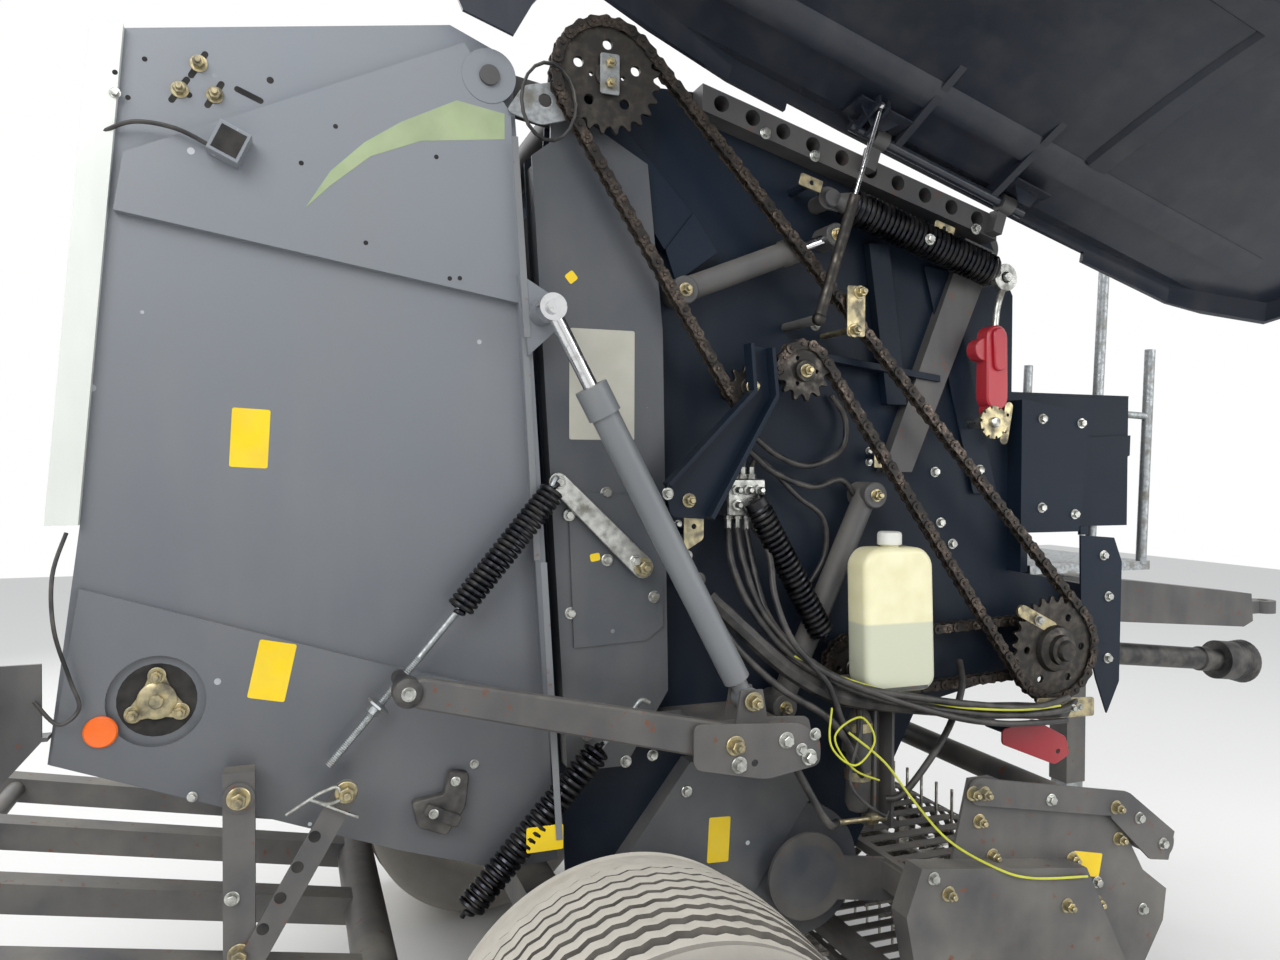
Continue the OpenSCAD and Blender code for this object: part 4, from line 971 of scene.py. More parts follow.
# Points of the section that belong to one side wall, and to one rib
WALL_POINTS, RIB_POINTS = 7, 5
tread_w = TYRE_W * 1000 * 0.86
tread_r = TYRE_R * 1000
rim_low, rim_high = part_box("rim_right")
rim_r = (rim_high.z - rim_low.z) * 500
# Painted shade in the grooves: a dark matt rubber on the grooves' floors and walls, where the ribs shade them
groove_painted_shade = moulded("soil_in_grooves", "#4f4b46", "#5d5852", dust=0.2, roughness=0.95)
print("one rib is", round(tread_w / RIBS), "mm wide")

# %% Section of the tyre
def tyre_section(swing):
    """Side offset and radius of the section's points, its tread grooves moved sideways by swing."""
    half_w = TYRE_W * 500
    wall = [(-half_w + 46, rim_r + 0.5), (-half_w + 14, rim_r + 22), (-half_w + 2, rim_r + 60),
            (-half_w, tread_r - 105), (-half_w + 3, tread_r - 70), (-half_w + 12, tread_r - 38),
            (-half_w + 22, tread_r - 20)]
    pitch = tread_w / RIBS
    tread = []
    for k in range(RIBS):
        middle = (k - (RIBS - 1) / 2) * pitch
        drop = 26 * abs(middle / (tread_w / 2)) ** 2.6
        left_move = swing if k > 0 else 0
        right_move = swing if k < RIBS - 1 else 0
        edge = pitch / 2 - 6
        tread += [(middle - edge + left_move - 4, tread_r - GROOVE_DEEP - drop),
                  (middle - edge + left_move, tread_r - 0.6 - drop),
                  (middle, tread_r - drop), (middle + edge + right_move, tread_r - 0.6 - drop),
                  (middle + edge + right_move + 4, tread_r - GROOVE_DEEP - drop)]
    return wall + tread + [(-w, r) for w, r in reversed(wall)]


print("points in the section:", len(tyre_section(0)))

# %% Ribbed tyres
def ribbed_tyre(name, node, y):
    """The tyre of one wheel, turned about the axle."""
    steps = ZIGZAGS * 4
    sections = [tyre_section(SWING * (abs((s / 2) % 2 - 1) * 2 - 1)) for s in range(4)]
    count = len(sections[0])
    verts, faces = [], []
    for s in range(steps):
        a = 2 * math.pi * s / steps
        verts += [Vector((r * math.cos(a), y + w, tread_r + r * math.sin(a))) for w, r in sections[s % 4]]
    for s in range(steps):
        here, there = s * count, ((s + 1) % steps) * count
        faces += [(here + i, there + i, there + i + 1, here + i + 1) for i in range(count - 1)]
        faces.append((here + count - 1, there + count - 1, there, here))
    tyre = show(name, tyre_rubber, [(verts, faces)], node)
    # Painted shade lies on each groove's floor and on the two walls beside it
    tyre.data.materials.append(groove_painted_shade)
    dark = {WALL_POINTS + RIB_POINTS * k + j for k in range(RIBS - 1) for j in (3, 4, 5)}
    for face in tyre.data.polygons:
        face.material_index = int(face.index % count in dark)
    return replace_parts(tyre, node)


track_half = (left_low.y + left_high.y) / 2 - CENTRE_Y
tyres = [ribbed_tyre("ribbed_tyre_right", "tyre_right", -track_half * 1000),
         ribbed_tyre("ribbed_tyre_left", "tyre_left", track_half * 1000)]
print("tyre faces:", [len(t.data.polygons) for t in tyres])

# %% [markdown]
# ## Belt tension
#
# Four coil springs stand in the open on this side. Each is a real helix of round wire with its
# ends turned in. This one, the largest, keeps the belts tight, and hangs between an anchor and
# an eye on a hooked rod. A red lever on a ratchet disc lets it off.

# %% Belt tension spring
TENSION_Y = 690
spring = show("tension_spring", spring_black,
              [coil((632, -TENSION_Y, 2382), (1098, -TENSION_Y, 2241), 38, 7, 33, 7, 14)],
              "belt_tensioner")
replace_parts(spring, "belt_tensioner")
show("tension_spring_anchor", frame_grey, [
    flat_plate(bar_outline((592, 2394), (640, 2380), 56, 40), 672, 680),
    disc(598, 2392, 22, BAY_WALL, 694),
    turned((610, -TENSION_Y, 2389), (660, -TENSION_Y, 2374), [(0, 16), (30, 30), (48, 30), (50, 26)])],
     "belt_tensioner")
eye_ring = [(1134 + 36 * math.cos(t / 4), 2228 + 36 * math.sin(t / 4)) for t in range(25)]
show("tension_spring_eye", zinc_clear, [
    flat_plate(eye_ring, 680, 700, [(1134, 2228, 16)]),
    turned((1080, -TENSION_Y, 2246), (1112, -TENSION_Y, 2236), [(0, 30), (10, 32), (26, 18), (34, 14)]),
    rod(bent([(1134, -TENSION_Y, 2206), (1112, -TENSION_Y, 2150), (1104, -TENSION_Y, 2074)], 20), 9),
    disc(1134, 2228, 12, BAY_WALL, 712), disc(1085, 1834, 14, BAY_WALL, 726)], "belt_tensioner")
print("tension spring faces:", len(spring.data.polygons))

# %% Ratchet disc and red lever
RATCHET_TEETH = 10
tooth_turn = 0.628
notches = [(1085 + r * math.cos(a), 1834 + r * math.sin(a)) for k in range(RATCHET_TEETH)
           for r, a in ((44, tooth_turn * k), (44, tooth_turn * k + 0.4),
                        (37, tooth_turn * k + 0.45), (37, tooth_turn * k + 0.58))]
show("ratchet_disc", zinc_yellow, [
    flat_plate(notches, 706, 716, [(1085, 1834, 7)]),
    flat_plate(bar_outline((1176, 1880), (1160, 1790), 26), 664, 668, [(1172, 1858, 5), (1164, 1812, 5)])],
     "belt_tensioner")
show("red_lever", red_enamel, [
    flat_plate(bar_outline((1098, 2062), (1100, 1902), 60, 62), 664, 712, edge=4),
    flat_plate(bar_outline((1098, 2068), (1100, 1990), 34, 30), 712, 722, edge=3),
    disc(1064, 2030, 30, 664, 702), disc(1099, 1868, 26, 668, 700)], "belt_tensioner")
print("ratchet corners:", len(notches))

# %% [markdown]
# ## Bale density
#
# Two springs pull on a long arm, and the harder they pull, the denser the bale. The upper one
# ends in a threaded rod, whose nut sets its pull. The thread is drawn as rings, coarser than
# the real one, because finer ones would be lost at this distance.

# %% Density springs and arms
DENSITY_Y = 716
lever = show("density_lever", zinc_clear, [
    flat_plate(bar_outline((89, 1476), (-116, 1676), 50, 42), 684, 696, [(-116, 1676, 9)], edge=1.5)],
             "density_linkage")
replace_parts(lever, "density_linkage")
show("density_springs", spring_black, [
    coil((-130, -DENSITY_Y, 1664), (-350, -DENSITY_Y, 1396), 25, 6, 25, 7, 14),
    coil((-20, -DENSITY_Y, 1068), (-330, -DENSITY_Y, 735), 27, 6.5, 27, 7, 14)], "density_linkage")
THREADS, THREAD_PITCH = 130, 2.2
threads = [(k * THREAD_PITCH, 9.0 if k % 2 else 8.0) for k in range(THREADS)]
show("density_rods", galvanised, [
    rod([(-345, -DENSITY_Y, 1402), (-440, -DENSITY_Y, 1290)], 8),
    turned((-430, -DENSITY_Y, 1302), (-611, -DENSITY_Y, 1094), threads, 10),
    rod(bent([(-116, -690, 1676), (-128, -DENSITY_Y, 1690), (-138, -DENSITY_Y, 1668)], 10), 6),
    rod([(-20, -DENSITY_Y, 1068), (60, -DENSITY_Y, 1150)], 7),
    rod(bent([(60, -DENSITY_Y, 1150), (78, -DENSITY_Y, 1172), (98, -DENSITY_Y, 1160)], 12), 6),
    turned((-512, -DENSITY_Y, 1210), (-530, -DENSITY_Y, 1189), [(0, 15), (4, 27), (9, 27), (12, 14), (27, 14)], 6)],
     "density_linkage")
show("density_arm", frame_grey, [
    flat_plate(bar_outline((-440, 1252), (250, 1085), 52, 74), 812, 848, edge=5),
    disc(250, 1085, 34, 812, 856, 4),
    flat_plate([(150, 1140), (420, 1120), (470, 1080), (470, 1020), (330, 1000), (150, 1040)], 856, 862,
               [(300, 1040, 9)], corner=20),
    flat_plate([(330, 1128), (470, 1118), (490, 1030), (400, 985), (340, 1000)], 800, 806, corner=14)],
    "density_linkage")
show("arm_end_bush", black_plastic, [turned((-470, -700, 1258), (-470, -862, 1258),
                                            [(0, 18), (112, 18), (118, 30), (156, 30), (162, 22)])],
     "density_linkage")
print("rings on the threaded rod:", THREADS)

# %% [markdown]
# ## Hydraulics
#
# A tension cylinder, a slanting pressure tube, a block of valves with its fittings, and a small
# accumulator. Barrels are painted, rods are chromed and the block is zinc plated.

# %% Cylinder and pressure tube
TUBE_Y = 650
cylinder_turns = [(0, 20), (26, 30), (300, 30), (306, 34), (340, 34), (346, 24), (352, 24)]
post = [([(686, 800), (744, 800), (744, 1150), (686, 1150)], 700, 706),
        ([(686, 800), (692, 800), (692, 1150), (686, 1150)], 700, 762),
        ([(738, 800), (744, 800), (744, 1150), (738, 1150)], 700, 762),
        ([(690, 960), (740, 960), (740, 1030), (690, 1030)], BAY_WALL, 700)]
barrels = show("tension_cylinder", frame_grey, [
    turned((194, -TUBE_Y, 2134), (520, -TUBE_Y, 2265), cylinder_turns),
    turned((734, -TUBE_Y, 1653), (473, -TUBE_Y, 1098), [(0, 24), (10, 30), (560, 30), (570, 36), (600, 36), (610, 26)]),
    disc(200, 2136, 34, BAY_WALL, 684, 3), disc(618, 2304, 30, BAY_WALL, 680, 3), disc(473, 1110, 34, BAY_WALL, 690, 3),
    disc(734, 1640, 34, BAY_WALL, 690, 3)] + [flat_plate(*wall) for wall in post], "hydraulics")
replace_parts(barrels, "hydraulics")
show("tension_rod", hard_chrome, [rod([(500, -TUBE_Y, 2257), (600, -TUBE_Y, 2297)], 13, 20)],
     "hydraulics")
show("bay_spring", spring_black, [
    coil((376, -712, 1622), (566, -712, 1290), 27, 6.5, 26, 7, 14),
    turned((368, -712, 1636), (382, -712, 1612), [(0, 12), (4, 30), (24, 30), (28, 24)])],
     "hydraulics")
print("barrel faces:", len(barrels.data.polygons))

# %% [markdown]
# ## Valve block and accumulator
#
# The block is one machined bar with screwed fittings on three sides, so its fittings are placed
# in loops. The accumulator is a turned bottle in two clamps.

# %% Valve block
block_forms = [flat_plate([(312, 1596), (408, 1596), (408, 1680), (312, 1680)], 612, 694, edge=3, corner=4)]
for x, z in ((330, 1656), (360, 1656), (390, 1656), (330, 1620), (390, 1620)):
    block_forms.append(turned((x, -692, z), (x, -722, z), [(0, 13), (12, 13), (13, 9), (26, 9), (30, 6)], 6))
for x in (326, 350, 374, 398):
    block_forms += [turned((x, -660, 1598), (x, -660, 1556), [(0, 12), (14, 12), (15, 9), (42, 9)], 6),
                    turned((x, -640, 1678), (x, -640, 1712), [(0, 14), (16, 14), (17, 10), (34, 10)], 6)]
show("valve_block", zinc_clear, block_forms, "hydraulics")
print("fittings on the block:", len(block_forms) - 1)

# %% Accumulator
BOTTLE_Y = 742
bottle = [(0, 10), (6, 24), (22, 31), (230, 31), (250, 24), (262, 14), (292, 14), (294, 22), (304, 22)]
show("accumulator", cast_grey, [
    turned((650, -BOTTLE_Y, 846), (656, -BOTTLE_Y, 1150), bottle),
    turned((228, -BAY_WALL, 1442), (228, -712, 1442), [(0, 18), (100, 18), (106, 12)])], "hydraulics")
show("accumulator_clamps", zinc_yellow, [
    turned((651, -BOTTLE_Y, 930), (651, -BOTTLE_Y, 952), [(0, 33), (22, 33)]),
    turned((654, -BOTTLE_Y, 1052), (654, -BOTTLE_Y, 1074), [(0, 33), (22, 33)]),
    turned((700, -790, 842), (560, -790, 846), [(0, 9), (26, 9), (27, 14), (48, 14), (49, 7), (140, 7)], 10)],
     "hydraulics")
print("bottle is", bottle[-1][0], "mm long")

# %% [markdown]
# ## Hoses, cables and wires
#
# Hydraulic hose is stiff and keeps a wide bend; electric cable hangs closer. Every run starts
# and ends at a fitting, a clip or a plate, and the frame's own hose stays the thickest of them.
# A few points are given for each run, and a spline through them makes the bends even.

# %% A run through points
def soft_run(points, steps=7):
    """A smooth curve through the points, as a hose lies: each stretch looks at its two neighbours."""
    points = [Vector(p) for p in points]
    path = []
    for i in range(len(points) - 1):
        a, b, c, d = points[max(0, i - 1)], points[i], points[i + 1], points[min(len(points) - 1, i + 2)]
        path += [0.5 * (2 * b + (c - a) * t + (2 * a - 5 * b + 4 * c - d) * t * t + (3 * b - a - 3 * c + d) * t ** 3)
                 for t in (k / steps for k in range(steps))]
    return path + [points[-1]]


def length_of(path):
    """How long a run is, in metres."""
    return sum((b - a).length for a, b in zip(path, path[1:])) / 1000


print("a straight run of 100 mm is", round(length_of(soft_run([(0, 0, 0), (100, 0, 0)])), 3), "m long")

# %% Hydraulic hoses
# Radius in mm, and the points of the run
HOSES = [
    (9, [(326, -660, 1560), (322, -690, 1480), (350, -730, 1380), (420, -775, 1280), (540, -812, 1196),
         (700, -850, 1140), (900, -846, 1100), (1080, -826, 1074), (1260, -790, 1062), (1330, -760, 1076)]),
    (9, [(350, -660, 1560), (352, -700, 1470), (384, -740, 1360), (460, -800, 1262), (580, -836, 1190),
         (760, -860, 1150), (940, -850, 1116), (1120, -830, 1090), (1290, -776, 1090)]),
    (8, [(374, -660, 1560), (380, -700, 1450), (400, -750, 1340), (480, -820, 1240), (640, -850, 1166),
         (840, -866, 1100), (1000, -846, 1064), (1140, -820, 1046), (1280, -780, 1030)]),
    (8, [(398, -660, 1560), (410, -716, 1500), (404, -760, 1400), (430, -800, 1300), (510, -826, 1200),
         (560, -812, 1100), (620, -790, 1040), (640, -760, 1140)]),
    (8, [(326, -640, 1710), (322, -650, 1780), (372, -660, 1800), (460, -660, 1742), (560, -650, 1716),
         (660, -640, 1760), (676, -630, 1840), (640, -620, 1900)]),
    (8, [(374, -640, 1710), (384, -650, 1752), (450, -660, 1700), (560, -660, 1662), (650, -650, 1680),
         (700, -640, 1640)]),
    (7, [(398, -640, 1710), (420, -650, 1730), (520, -655, 1640), (600, -650, 1580), (610, -640, 1480),
         (540, -640, 1380)]),
    (9, [(228, -708, 1442), (236, -730, 1396), (300, -752, 1290), (400, -790, 1190), (520, -820, 1110),
         (600, -800, 1010), (648, -764, 940)]),
    (10, [(560, -790, 846), (520, -820, 858), (480, -800, 930), (450, -750, 1020), (470, -690, 1100)]),
    (9, [(1040, -640, 1180), (1000, -700, 1120), (900, -760, 1020), (760, -790, 900), (716, -770, 880)]),
]
show("hydraulic_hoses", hose_rubber, [rod(soft_run(p), r, 10) for r, p in HOSES], "hoses")
print("hoses, in metres:", [round(length_of(soft_run(p)), 2) for _, p in HOSES])

# %% Black cables
TAILGATE_CABLES = [
    (4, [(-1100, -668, 1580), (-1118, -700, 1500), (-1112, -720, 1400), (-1090, -700, 1300), (-1076, -690, 1240),
         (-1110, -700, 1214), (-1150, -700, 1262)]),
    (4.5, [(-1046, -668, 2356), (-980, -690, 2384), (-900, -704, 2376), (-826, -700, 2344)]),
]
BAY_CABLE = [(640, -760, 1140), (600, -830, 1080), (560, -850, 960), (640, -860, 880), (700, -800, 860)]
show("black_cables", hose_rubber, [rod(soft_run(BAY_CABLE), 4, 8)], "hoses")
show("tailgate_cables", hose_rubber, [rod(soft_run(p), r, 8) for r, p in TAILGATE_CABLES], "tailgate_frame")
print("cables, in metres:", [round(length_of(soft_run(p)), 2) for p in (BAY_CABLE, *(p for _, p in TAILGATE_CABLES))])

# %% [markdown]
# ## Yellow wires
#
# Sensor wire is thin and bright, so it is easily found and easily seen. One of them goes on to
# the pickup, which lifts.

# %% Sensor wires
# Soft PVC sheath: a strong greenish yellow, dulled by a little dust
wire_yellow = moulded("yellow_wire_sheath", "#cfd23a", "#b9bb34", dust=0.2, roughness=0.45)
WIRES = [
    (3, [(440, -790, 1262), (540, -826, 1214), (700, -836, 1160), (860, -856, 1120), (1060, -850, 1094),
         (1240, -800, 1078)]),
    (2.5, [(520, -830, 1140), (500, -860, 1060), (560, -870, 1010), (620, -860, 1060), (580, -860, 1120),
           (510, -860, 1080), (560, -860, 1000), (640, -850, 960)]),
]
PICKUP_WIRE = [(560, -840, 1080), (640, -870, 1010), (690, -910, 930), (740, -980, 850), (820, -1046, 800),
               (920, -1052, 764), (1085, -1052, 744)]
show("sensor_wires", wire_yellow, [rod(soft_run(p), r, 6) for r, p in WIRES], "hoses")
pickup_wire = show("pickup_wire", wire_yellow, [rod(soft_run(PICKUP_WIRE), 3, 6)], None)
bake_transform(pickup_wire)
print("wires, in metres:", [round(length_of(soft_run(p)), 2) for p in (PICKUP_WIRE, *(p for _, p in WIRES))])

# %% [markdown]
# ## Spare cable
#
# Cable that is longer than its way is coiled and hung up, here at the top of the bay. The coil
# is an ellipse that goes outwards a little with each step, so its two turns lie side by side.

# %% Coiled cable
SPARE_STEPS, SPARE_TURN = 37, 0.35
spare = [Vector((-150 + 62 * math.cos(t * SPARE_TURN), -724 - t * 0.25, 2520 + 86 * math.sin(t * SPARE_TURN)))
         for t in range(SPARE_STEPS)]
show("coiled_cable", hose_rubber, [rod(spare, 3.5, 7)], "frame_beams")
print("spare cable, in metres:", round(length_of(spare), 2))

# %% [markdown]
# ## Brackets in the bay
#
# Pressed brackets carry the struts, the valve block and the chain guide. Each stands on a boss
# or a stud that reaches back to the bay's wall.

# %% Pressed brackets
# Its web, and the two flanges folded out of it
show("strut_bracket", charcoal_painted_shade, [
    flat_plate([(336, 2004), (392, 1996), (404, 1880), (236, 1590), (140, 1596), (128, 1668), (346, 1890)],
               735, 741, corner=16),
    flat_plate([(392, 1996), (404, 1880), (236, 1590), (228, 1596), (396, 1884), (384, 1996)], 735, 775, edge=0.6),
    flat_plate([(336, 2004), (346, 1890), (128, 1668), (122, 1674), (338, 1894), (328, 2004)], 735, 775, edge=0.6),
    disc(186, 1634, 22, BAY_WALL, 737)], "frame_beams")
show("chain_guide_plate", zinc_yellow, [
    flat_plate([(615, 2165), (665, 2165), (665, 2040), (615, 2040)], 730, 736, [(640, 2060, 6)], corner=6),
    disc(650, 2150, 8, BAY_WALL, 732), disc(622, 2054, 8, BAY_WALL, 732)], "frame_beams")
show("top_chain_bracket", galvanised, [
    flat_plate([(-30, 2646), (14, 2646), (14, 2556), (-30, 2556)], 724, 730, [(-8, 2624, 6), (-8, 2578, 6)], corner=5),
    flat_plate([(-238, 2500), (-200, 2560), (-120, 2580), (-60, 2540), (-90, 2500), (-160, 2478)], 690, 696,
               [(-150, 2534, 16)], corner=14)], "frame_beams")
show("bay_braces", charcoal_painted_shade, [
    flat_plate([(-40, 2523), (22, 2549), (236, 2330), (228, 2290), (163, 2236)], 612, 640, corner=6),
    flat_plate([(163, 2236), (236, 2330), (300, 2240), (190, 2160)], 640, 646, corner=6),
    flat_plate([(740, 2300), (800, 2300), (860, 1880), (800, 1880)], 612, 640, corner=4),
    flat_plate([(560, 2010), (960, 1960), (960, 1944), (560, 1994)], 612, 650),
    flat_plate([(930, 2260), (1010, 2250), (1180, 1640), (1100, 1640)], 612, 618, corner=6)], "frame_beams")
show("red_toolbar", red_enamel, [
    flat_plate([(1110, 1006), (1215, 1026), (1326, 968), (1340, 918), (1290, 895), (1110, 968)], 726, 732,
               [(1300, 930, 8)], corner=10)], "gearbox")

# %% Small holders and their legs
show("zinc_holders", zinc_yellow, [
    flat_plate([(1196, 1092), (1392, 1080), (1392, 1030), (1196, 1036)], 760, 766, [(1300, 1062, 6)], corner=8),
    flat_plate(bar_outline((1190, 1320), (1290, 1270), 34), 706, 716), disc(1240, 1295, 12, 660, 720),
    flat_plate([(190, 1600), (240, 1600), (240, 1540), (190, 1510)], 700, 704, [(215, 1570, 7)], corner=8),
    flat_plate([(752, 1770), (782, 1770), (782, 1712), (752, 1712)], 650, 654,
               [(767, 1756, 5), (767, 1726, 5)], corner=3),
    flat_plate([(500, 2440), (560, 2424), (552, 2396), (492, 2412)], 700, 706, [(528, 2418, 7)], corner=4),
    flat_plate([(900, 2360), (960, 2344), (952, 2316), (892, 2332)], 700, 706, [(926, 2340, 7)], corner=4)],
     "frame_beams")
LEGS = [(1294, 1061, 14, 660, 762), (214, 1555, 10, BAY_WALL, 702), (767, 1741, 8, BAY_WALL, 652),
        (526, 2418, 10, BAY_WALL, 702), (926, 2338, 10, BAY_WALL, 702), (1170, 990, 14, BAY_WALL, 728),
        (1166, 1835, 8, BAY_WALL, 666)]
show("holder_legs", charcoal_painted_shade, [disc(*leg) for leg in LEGS], "frame_beams")
print("legs:", len(LEGS))

# %% [markdown]
# ## The door's inner side
#
# The open door shows its inner skin: a turned-in lip at the rear, pressed stiffeners, and two
# trapezoid brackets that hold the hinge tube. Points on the door are given along its hinge
# line, below it and outward from it, as if it were shut, and then swung open with it.

# %% Door details
HINGE = Vector((669, -700, 2567))
ALONG = Vector((526, 0, -166)).normalized()
BELOW = Vector((ALONG.z, 0, -ALONG.x))
OUT = Vector((0, -1, 0))
OPEN = math.radians(96)
swing_below = math.cos(OPEN) * BELOW + math.sin(OPEN) * OUT
swing_out = math.cos(OPEN) * OUT - math.sin(OPEN) * BELOW


def on_door(s, d, w):
    """A point of the open door from its place along, below and out of the hinge line."""
    return HINGE + ALONG * s + swing_below * d + swing_out * w


def skin_at(d):
    """How far the door's inner skin stands out of the hinge line at this distance below it."""
    return 35 + 210 * math.sin(math.radians(125 * max(0, d) / 1300))


def folded(sections):
    """A sheet through rows of door points (s, d, w)."""
    rows = [[on_door(*p) for p in row] for row in sections]
    verts = [p for row in rows for p in row]
    wide, count = len(rows[0]), len(rows)
    faces = [(r * wide + c, r * wide + c + 1, (r + 1) * wide + c + 1, (r + 1) * wide + c)
             for r in range(count - 1) for c in range(wide - 1)]
    return verts, faces


def slab_on_door(outline, low, high, lay):
    """A flat piece on the door: lay turns (u, v, t) into a door point, t from low to high."""
    count = len(outline)
    verts = [on_door(*lay(u, v, low)) for u, v in outline] + [on_door(*lay(u, v, high)) for u, v in outline]
    faces = [tuple(range(count))[::-1], tuple(range(count, 2 * count))]
    return verts, faces + [(k, (k + 1) % count, count + (k + 1) % count, count + k) for k in range(count)]


print("hinge line leans", round(math.degrees(math.atan2(-ALONG.z, ALONG.x)), 1), "degrees")

# %% Lip, brackets and stiffeners
rear_lip = [(-1046, 34), (-1040, -150), (-1000, -196), (-884, -198), (-866, -110), (-846, -58), (-846, 34)]
door_forms = [slab_on_door(rear_lip, 14, 22, lambda u, v, t: (u, t, v))]
# Trapezoid brackets: wide at the skin and narrow at the tube
for s, wide in ((20, 130), (500, 90)):
    cheek = [(-wide / 2, 36), (wide / 2, 36), (18, -12), (-18, -12)]
    foot = [(-wide / 2 - 14, -34), (wide / 2 + 14, -34), (wide / 2 + 14, 60), (-wide / 2 - 14, 60)]
    for side in (-30, 30):
        door_forms.append(slab_on_door(cheek, side - 2, side + 2, lambda u, v, t, s=s: (s + u, 20 + t, v)))
    door_forms.append(slab_on_door(foot, 28, 33, lambda u, v, t, s=s: (s + u, v + 20, t)))
# Stiffeners: shallow hat profiles along the skin, and one across it
for d0, d1, s0, s1 in ((96, 176, -560, 1300), (620, 690, -420, 1300)):
    door_forms.append(folded([[(s, d, skin_at(d) - lift) for s in range(s0, s1, 60)]
                              for d, lift in ((d0, 1), (d0 + 12, 15), (d1 - 12, 15), (d1, 1))]))
door_forms.append(folded([[(s, d, skin_at(d) - lift) for d in range(180, 1080, 60)]
                          for s, lift in ((560, 1), (572, 14), (628, 14), (640, 1))]))
show("door_brackets", door_lacquer, door_forms, "door_right")
print("forms on the door:", len(door_forms))

# %% [markdown]
# ## Feeling for the surface
#
# Small pieces have to sit on their sheet, neither sunk nor hovering. A level ray from outside
# finds how far out the surface is, and the pieces of the next cells are placed by it.

# %% A ray from the side
# Where rays start: outside everything, or just outside the side walls
OUTSIDE, BESIDE_WALL = 1690, 760
# Openings with no light in them: a matt near-black
dark_gap = moulded("unlit_opening", "#0b0b0c", "#101011", dust=0.1, roughness=0.8)


def skin_depth(x, z, far=OUTSIDE, side=-1):
    """Where a level ray from outside, at far from the centre, meets the machine's side: y in mm."""
    start = at(x, side * far, z)
    hit, place, *_ = bpy.context.scene.ray_cast(bpy.context.evaluated_depsgraph_get(), start, Vector((0, -side, 0)))
    return (place.y - CENTRE_Y) * 1000 if hit else 0.0


bpy.context.view_layer.update()
print("tailgate side at", round(skin_depth(-700, 1700)), "mm from the centre")

# %% [markdown]
# ## Tailgate details
#
# The tailgate's rear roller runs in a flange bearing that shows through a round opening. Above
# it are the scraper's bolts in their slots, a square tube that leads a cable, and small holes.
# Openings are thin dark discs, because the frame's own meshes stay as they are.

# %% Bearing and reflector
BEARING = (-943, 1239)
bearing_y = -skin_depth(*BEARING)
show("bearing_opening", dark_gap, [disc(*BEARING, 74, bearing_y - 3, bearing_y + 0.8, 0.3)],
     "tailgate_frame")
# Three arms a third of a turn apart, and the ring that they hold
arm_ends = [(BEARING[0] + 50 * math.cos(1.57 + 2.094 * k), BEARING[1] + 50 * math.sin(1.57 + 2.094 * k))
            for k in range(3)]
bearing_ring = [(0, 37), (5, 37), (7, 33), (8, 23), (8.5, 14), (17, 14), (19, 12)]
show("flange_bearing", zinc_yellow,
     [flat_plate(bar_outline(BEARING, end, 68, 28), bearing_y + 1, bearing_y + 6) for end in arm_ends]
     + [turned((BEARING[0], -bearing_y - 5, BEARING[1]), (BEARING[0], -bearing_y - 24, BEARING[1]), bearing_ring, 32)],
     "tailgate_frame")
reflector_y = -skin_depth(-1042, 1187)
show("round_reflector", amber_lens,
     [turned((-1042, -reflector_y + 1, 1187), (-1042, -reflector_y - 9, 1187),
             [(0, 31), (6, 31), (9, 28), (10, 0.1)], 36)],
     "tailgate_frame")
print("bearing", round(bearing_y), "mm and reflector", round(reflector_y), "mm out")

# %% Square cable tube and plug holder
TUBE = (-803, 2355)
tube_y = -skin_depth(*TUBE)


def square(reach):
    """Outline of the tube's section, to its corners."""
    return [(TUBE[0] + reach * math.cos(a), TUBE[1] + reach * math.sin(a))
            for a in (0.35 + math.pi / 2 * k for k in range(4))]


show("cable_tube", tailgate_grey_painted_reflection, [flat_plate(square(44), tube_y - 4, tube_y + 46, edge=1)],
     "tailgate_frame")
show("cable_tube_hole", dark_gap, [flat_plate(square(36), tube_y + 40, tube_y + 46.6, edge=0.1)],
     "tailgate_frame")
clip_y = -skin_depth(-381, 976)
show("plug_holder", black_plastic, [
    flat_plate([(-430, 930), (-370, 905), (-330, 960), (-322, 1032), (-360, 1040), (-372, 990), (-440, 980)],
               clip_y - 1, clip_y + 26, corner=8, edge=3),
    flat_plate([(-420, 960), (-350, 925), (-340, 945), (-410, 980)], clip_y + 26, clip_y + 44, corner=5, edge=2)],
     "tailgate_frame")
print("tube", round(tube_y), "mm and plug holder", round(clip_y), "mm out")

# %% Holes and slots
ROUND_HOLES = [(-727, 2511, 7), (-599, 2424, 5), (-667, 2340, 5), (-538, 2186, 5), (-361, 2123, 5), (-339, 2125, 5),
               (-390, 2384, 5), (-880, 2460, 6), (-1010, 2480, 5), (-990, 2440, 5), (-960, 2520, 5)]
SLOTS = [((-876, 2500), (-850, 2546)), ((-912, 2446), (-884, 2490)), ((-846, 2444), (-820, 2490)),
         ((-790, 2484), (-746, 2466))]
holes = []
for x, z, r in ROUND_HOLES:
    y = -skin_depth(x, z)
    holes.append(disc(x, z, r, y - 1, y + 0.5, 0.1))
for a, b in SLOTS:
    y = -skin_depth((a[0] + b[0]) / 2, (a[1] + b[1]) / 2)
    holes.append(flat_plate(bar_outline(a, b, 12), y - 1, y + 0.5, edge=0.1))
show("tailgate_holes", dark_gap, holes, "tailgate_frame")
print("holes and slots:", len(holes))

# %% [markdown]
# ## Films
#
# Vinyl films are a few tenths of a millimetre thick and bend with the sheet. They are flat
# plates here, laid on the highest point below them, and plain: yellow for a place to keep clear
# of, silver for the machine's data, and a pale sweep as the tailgate's only ornament.

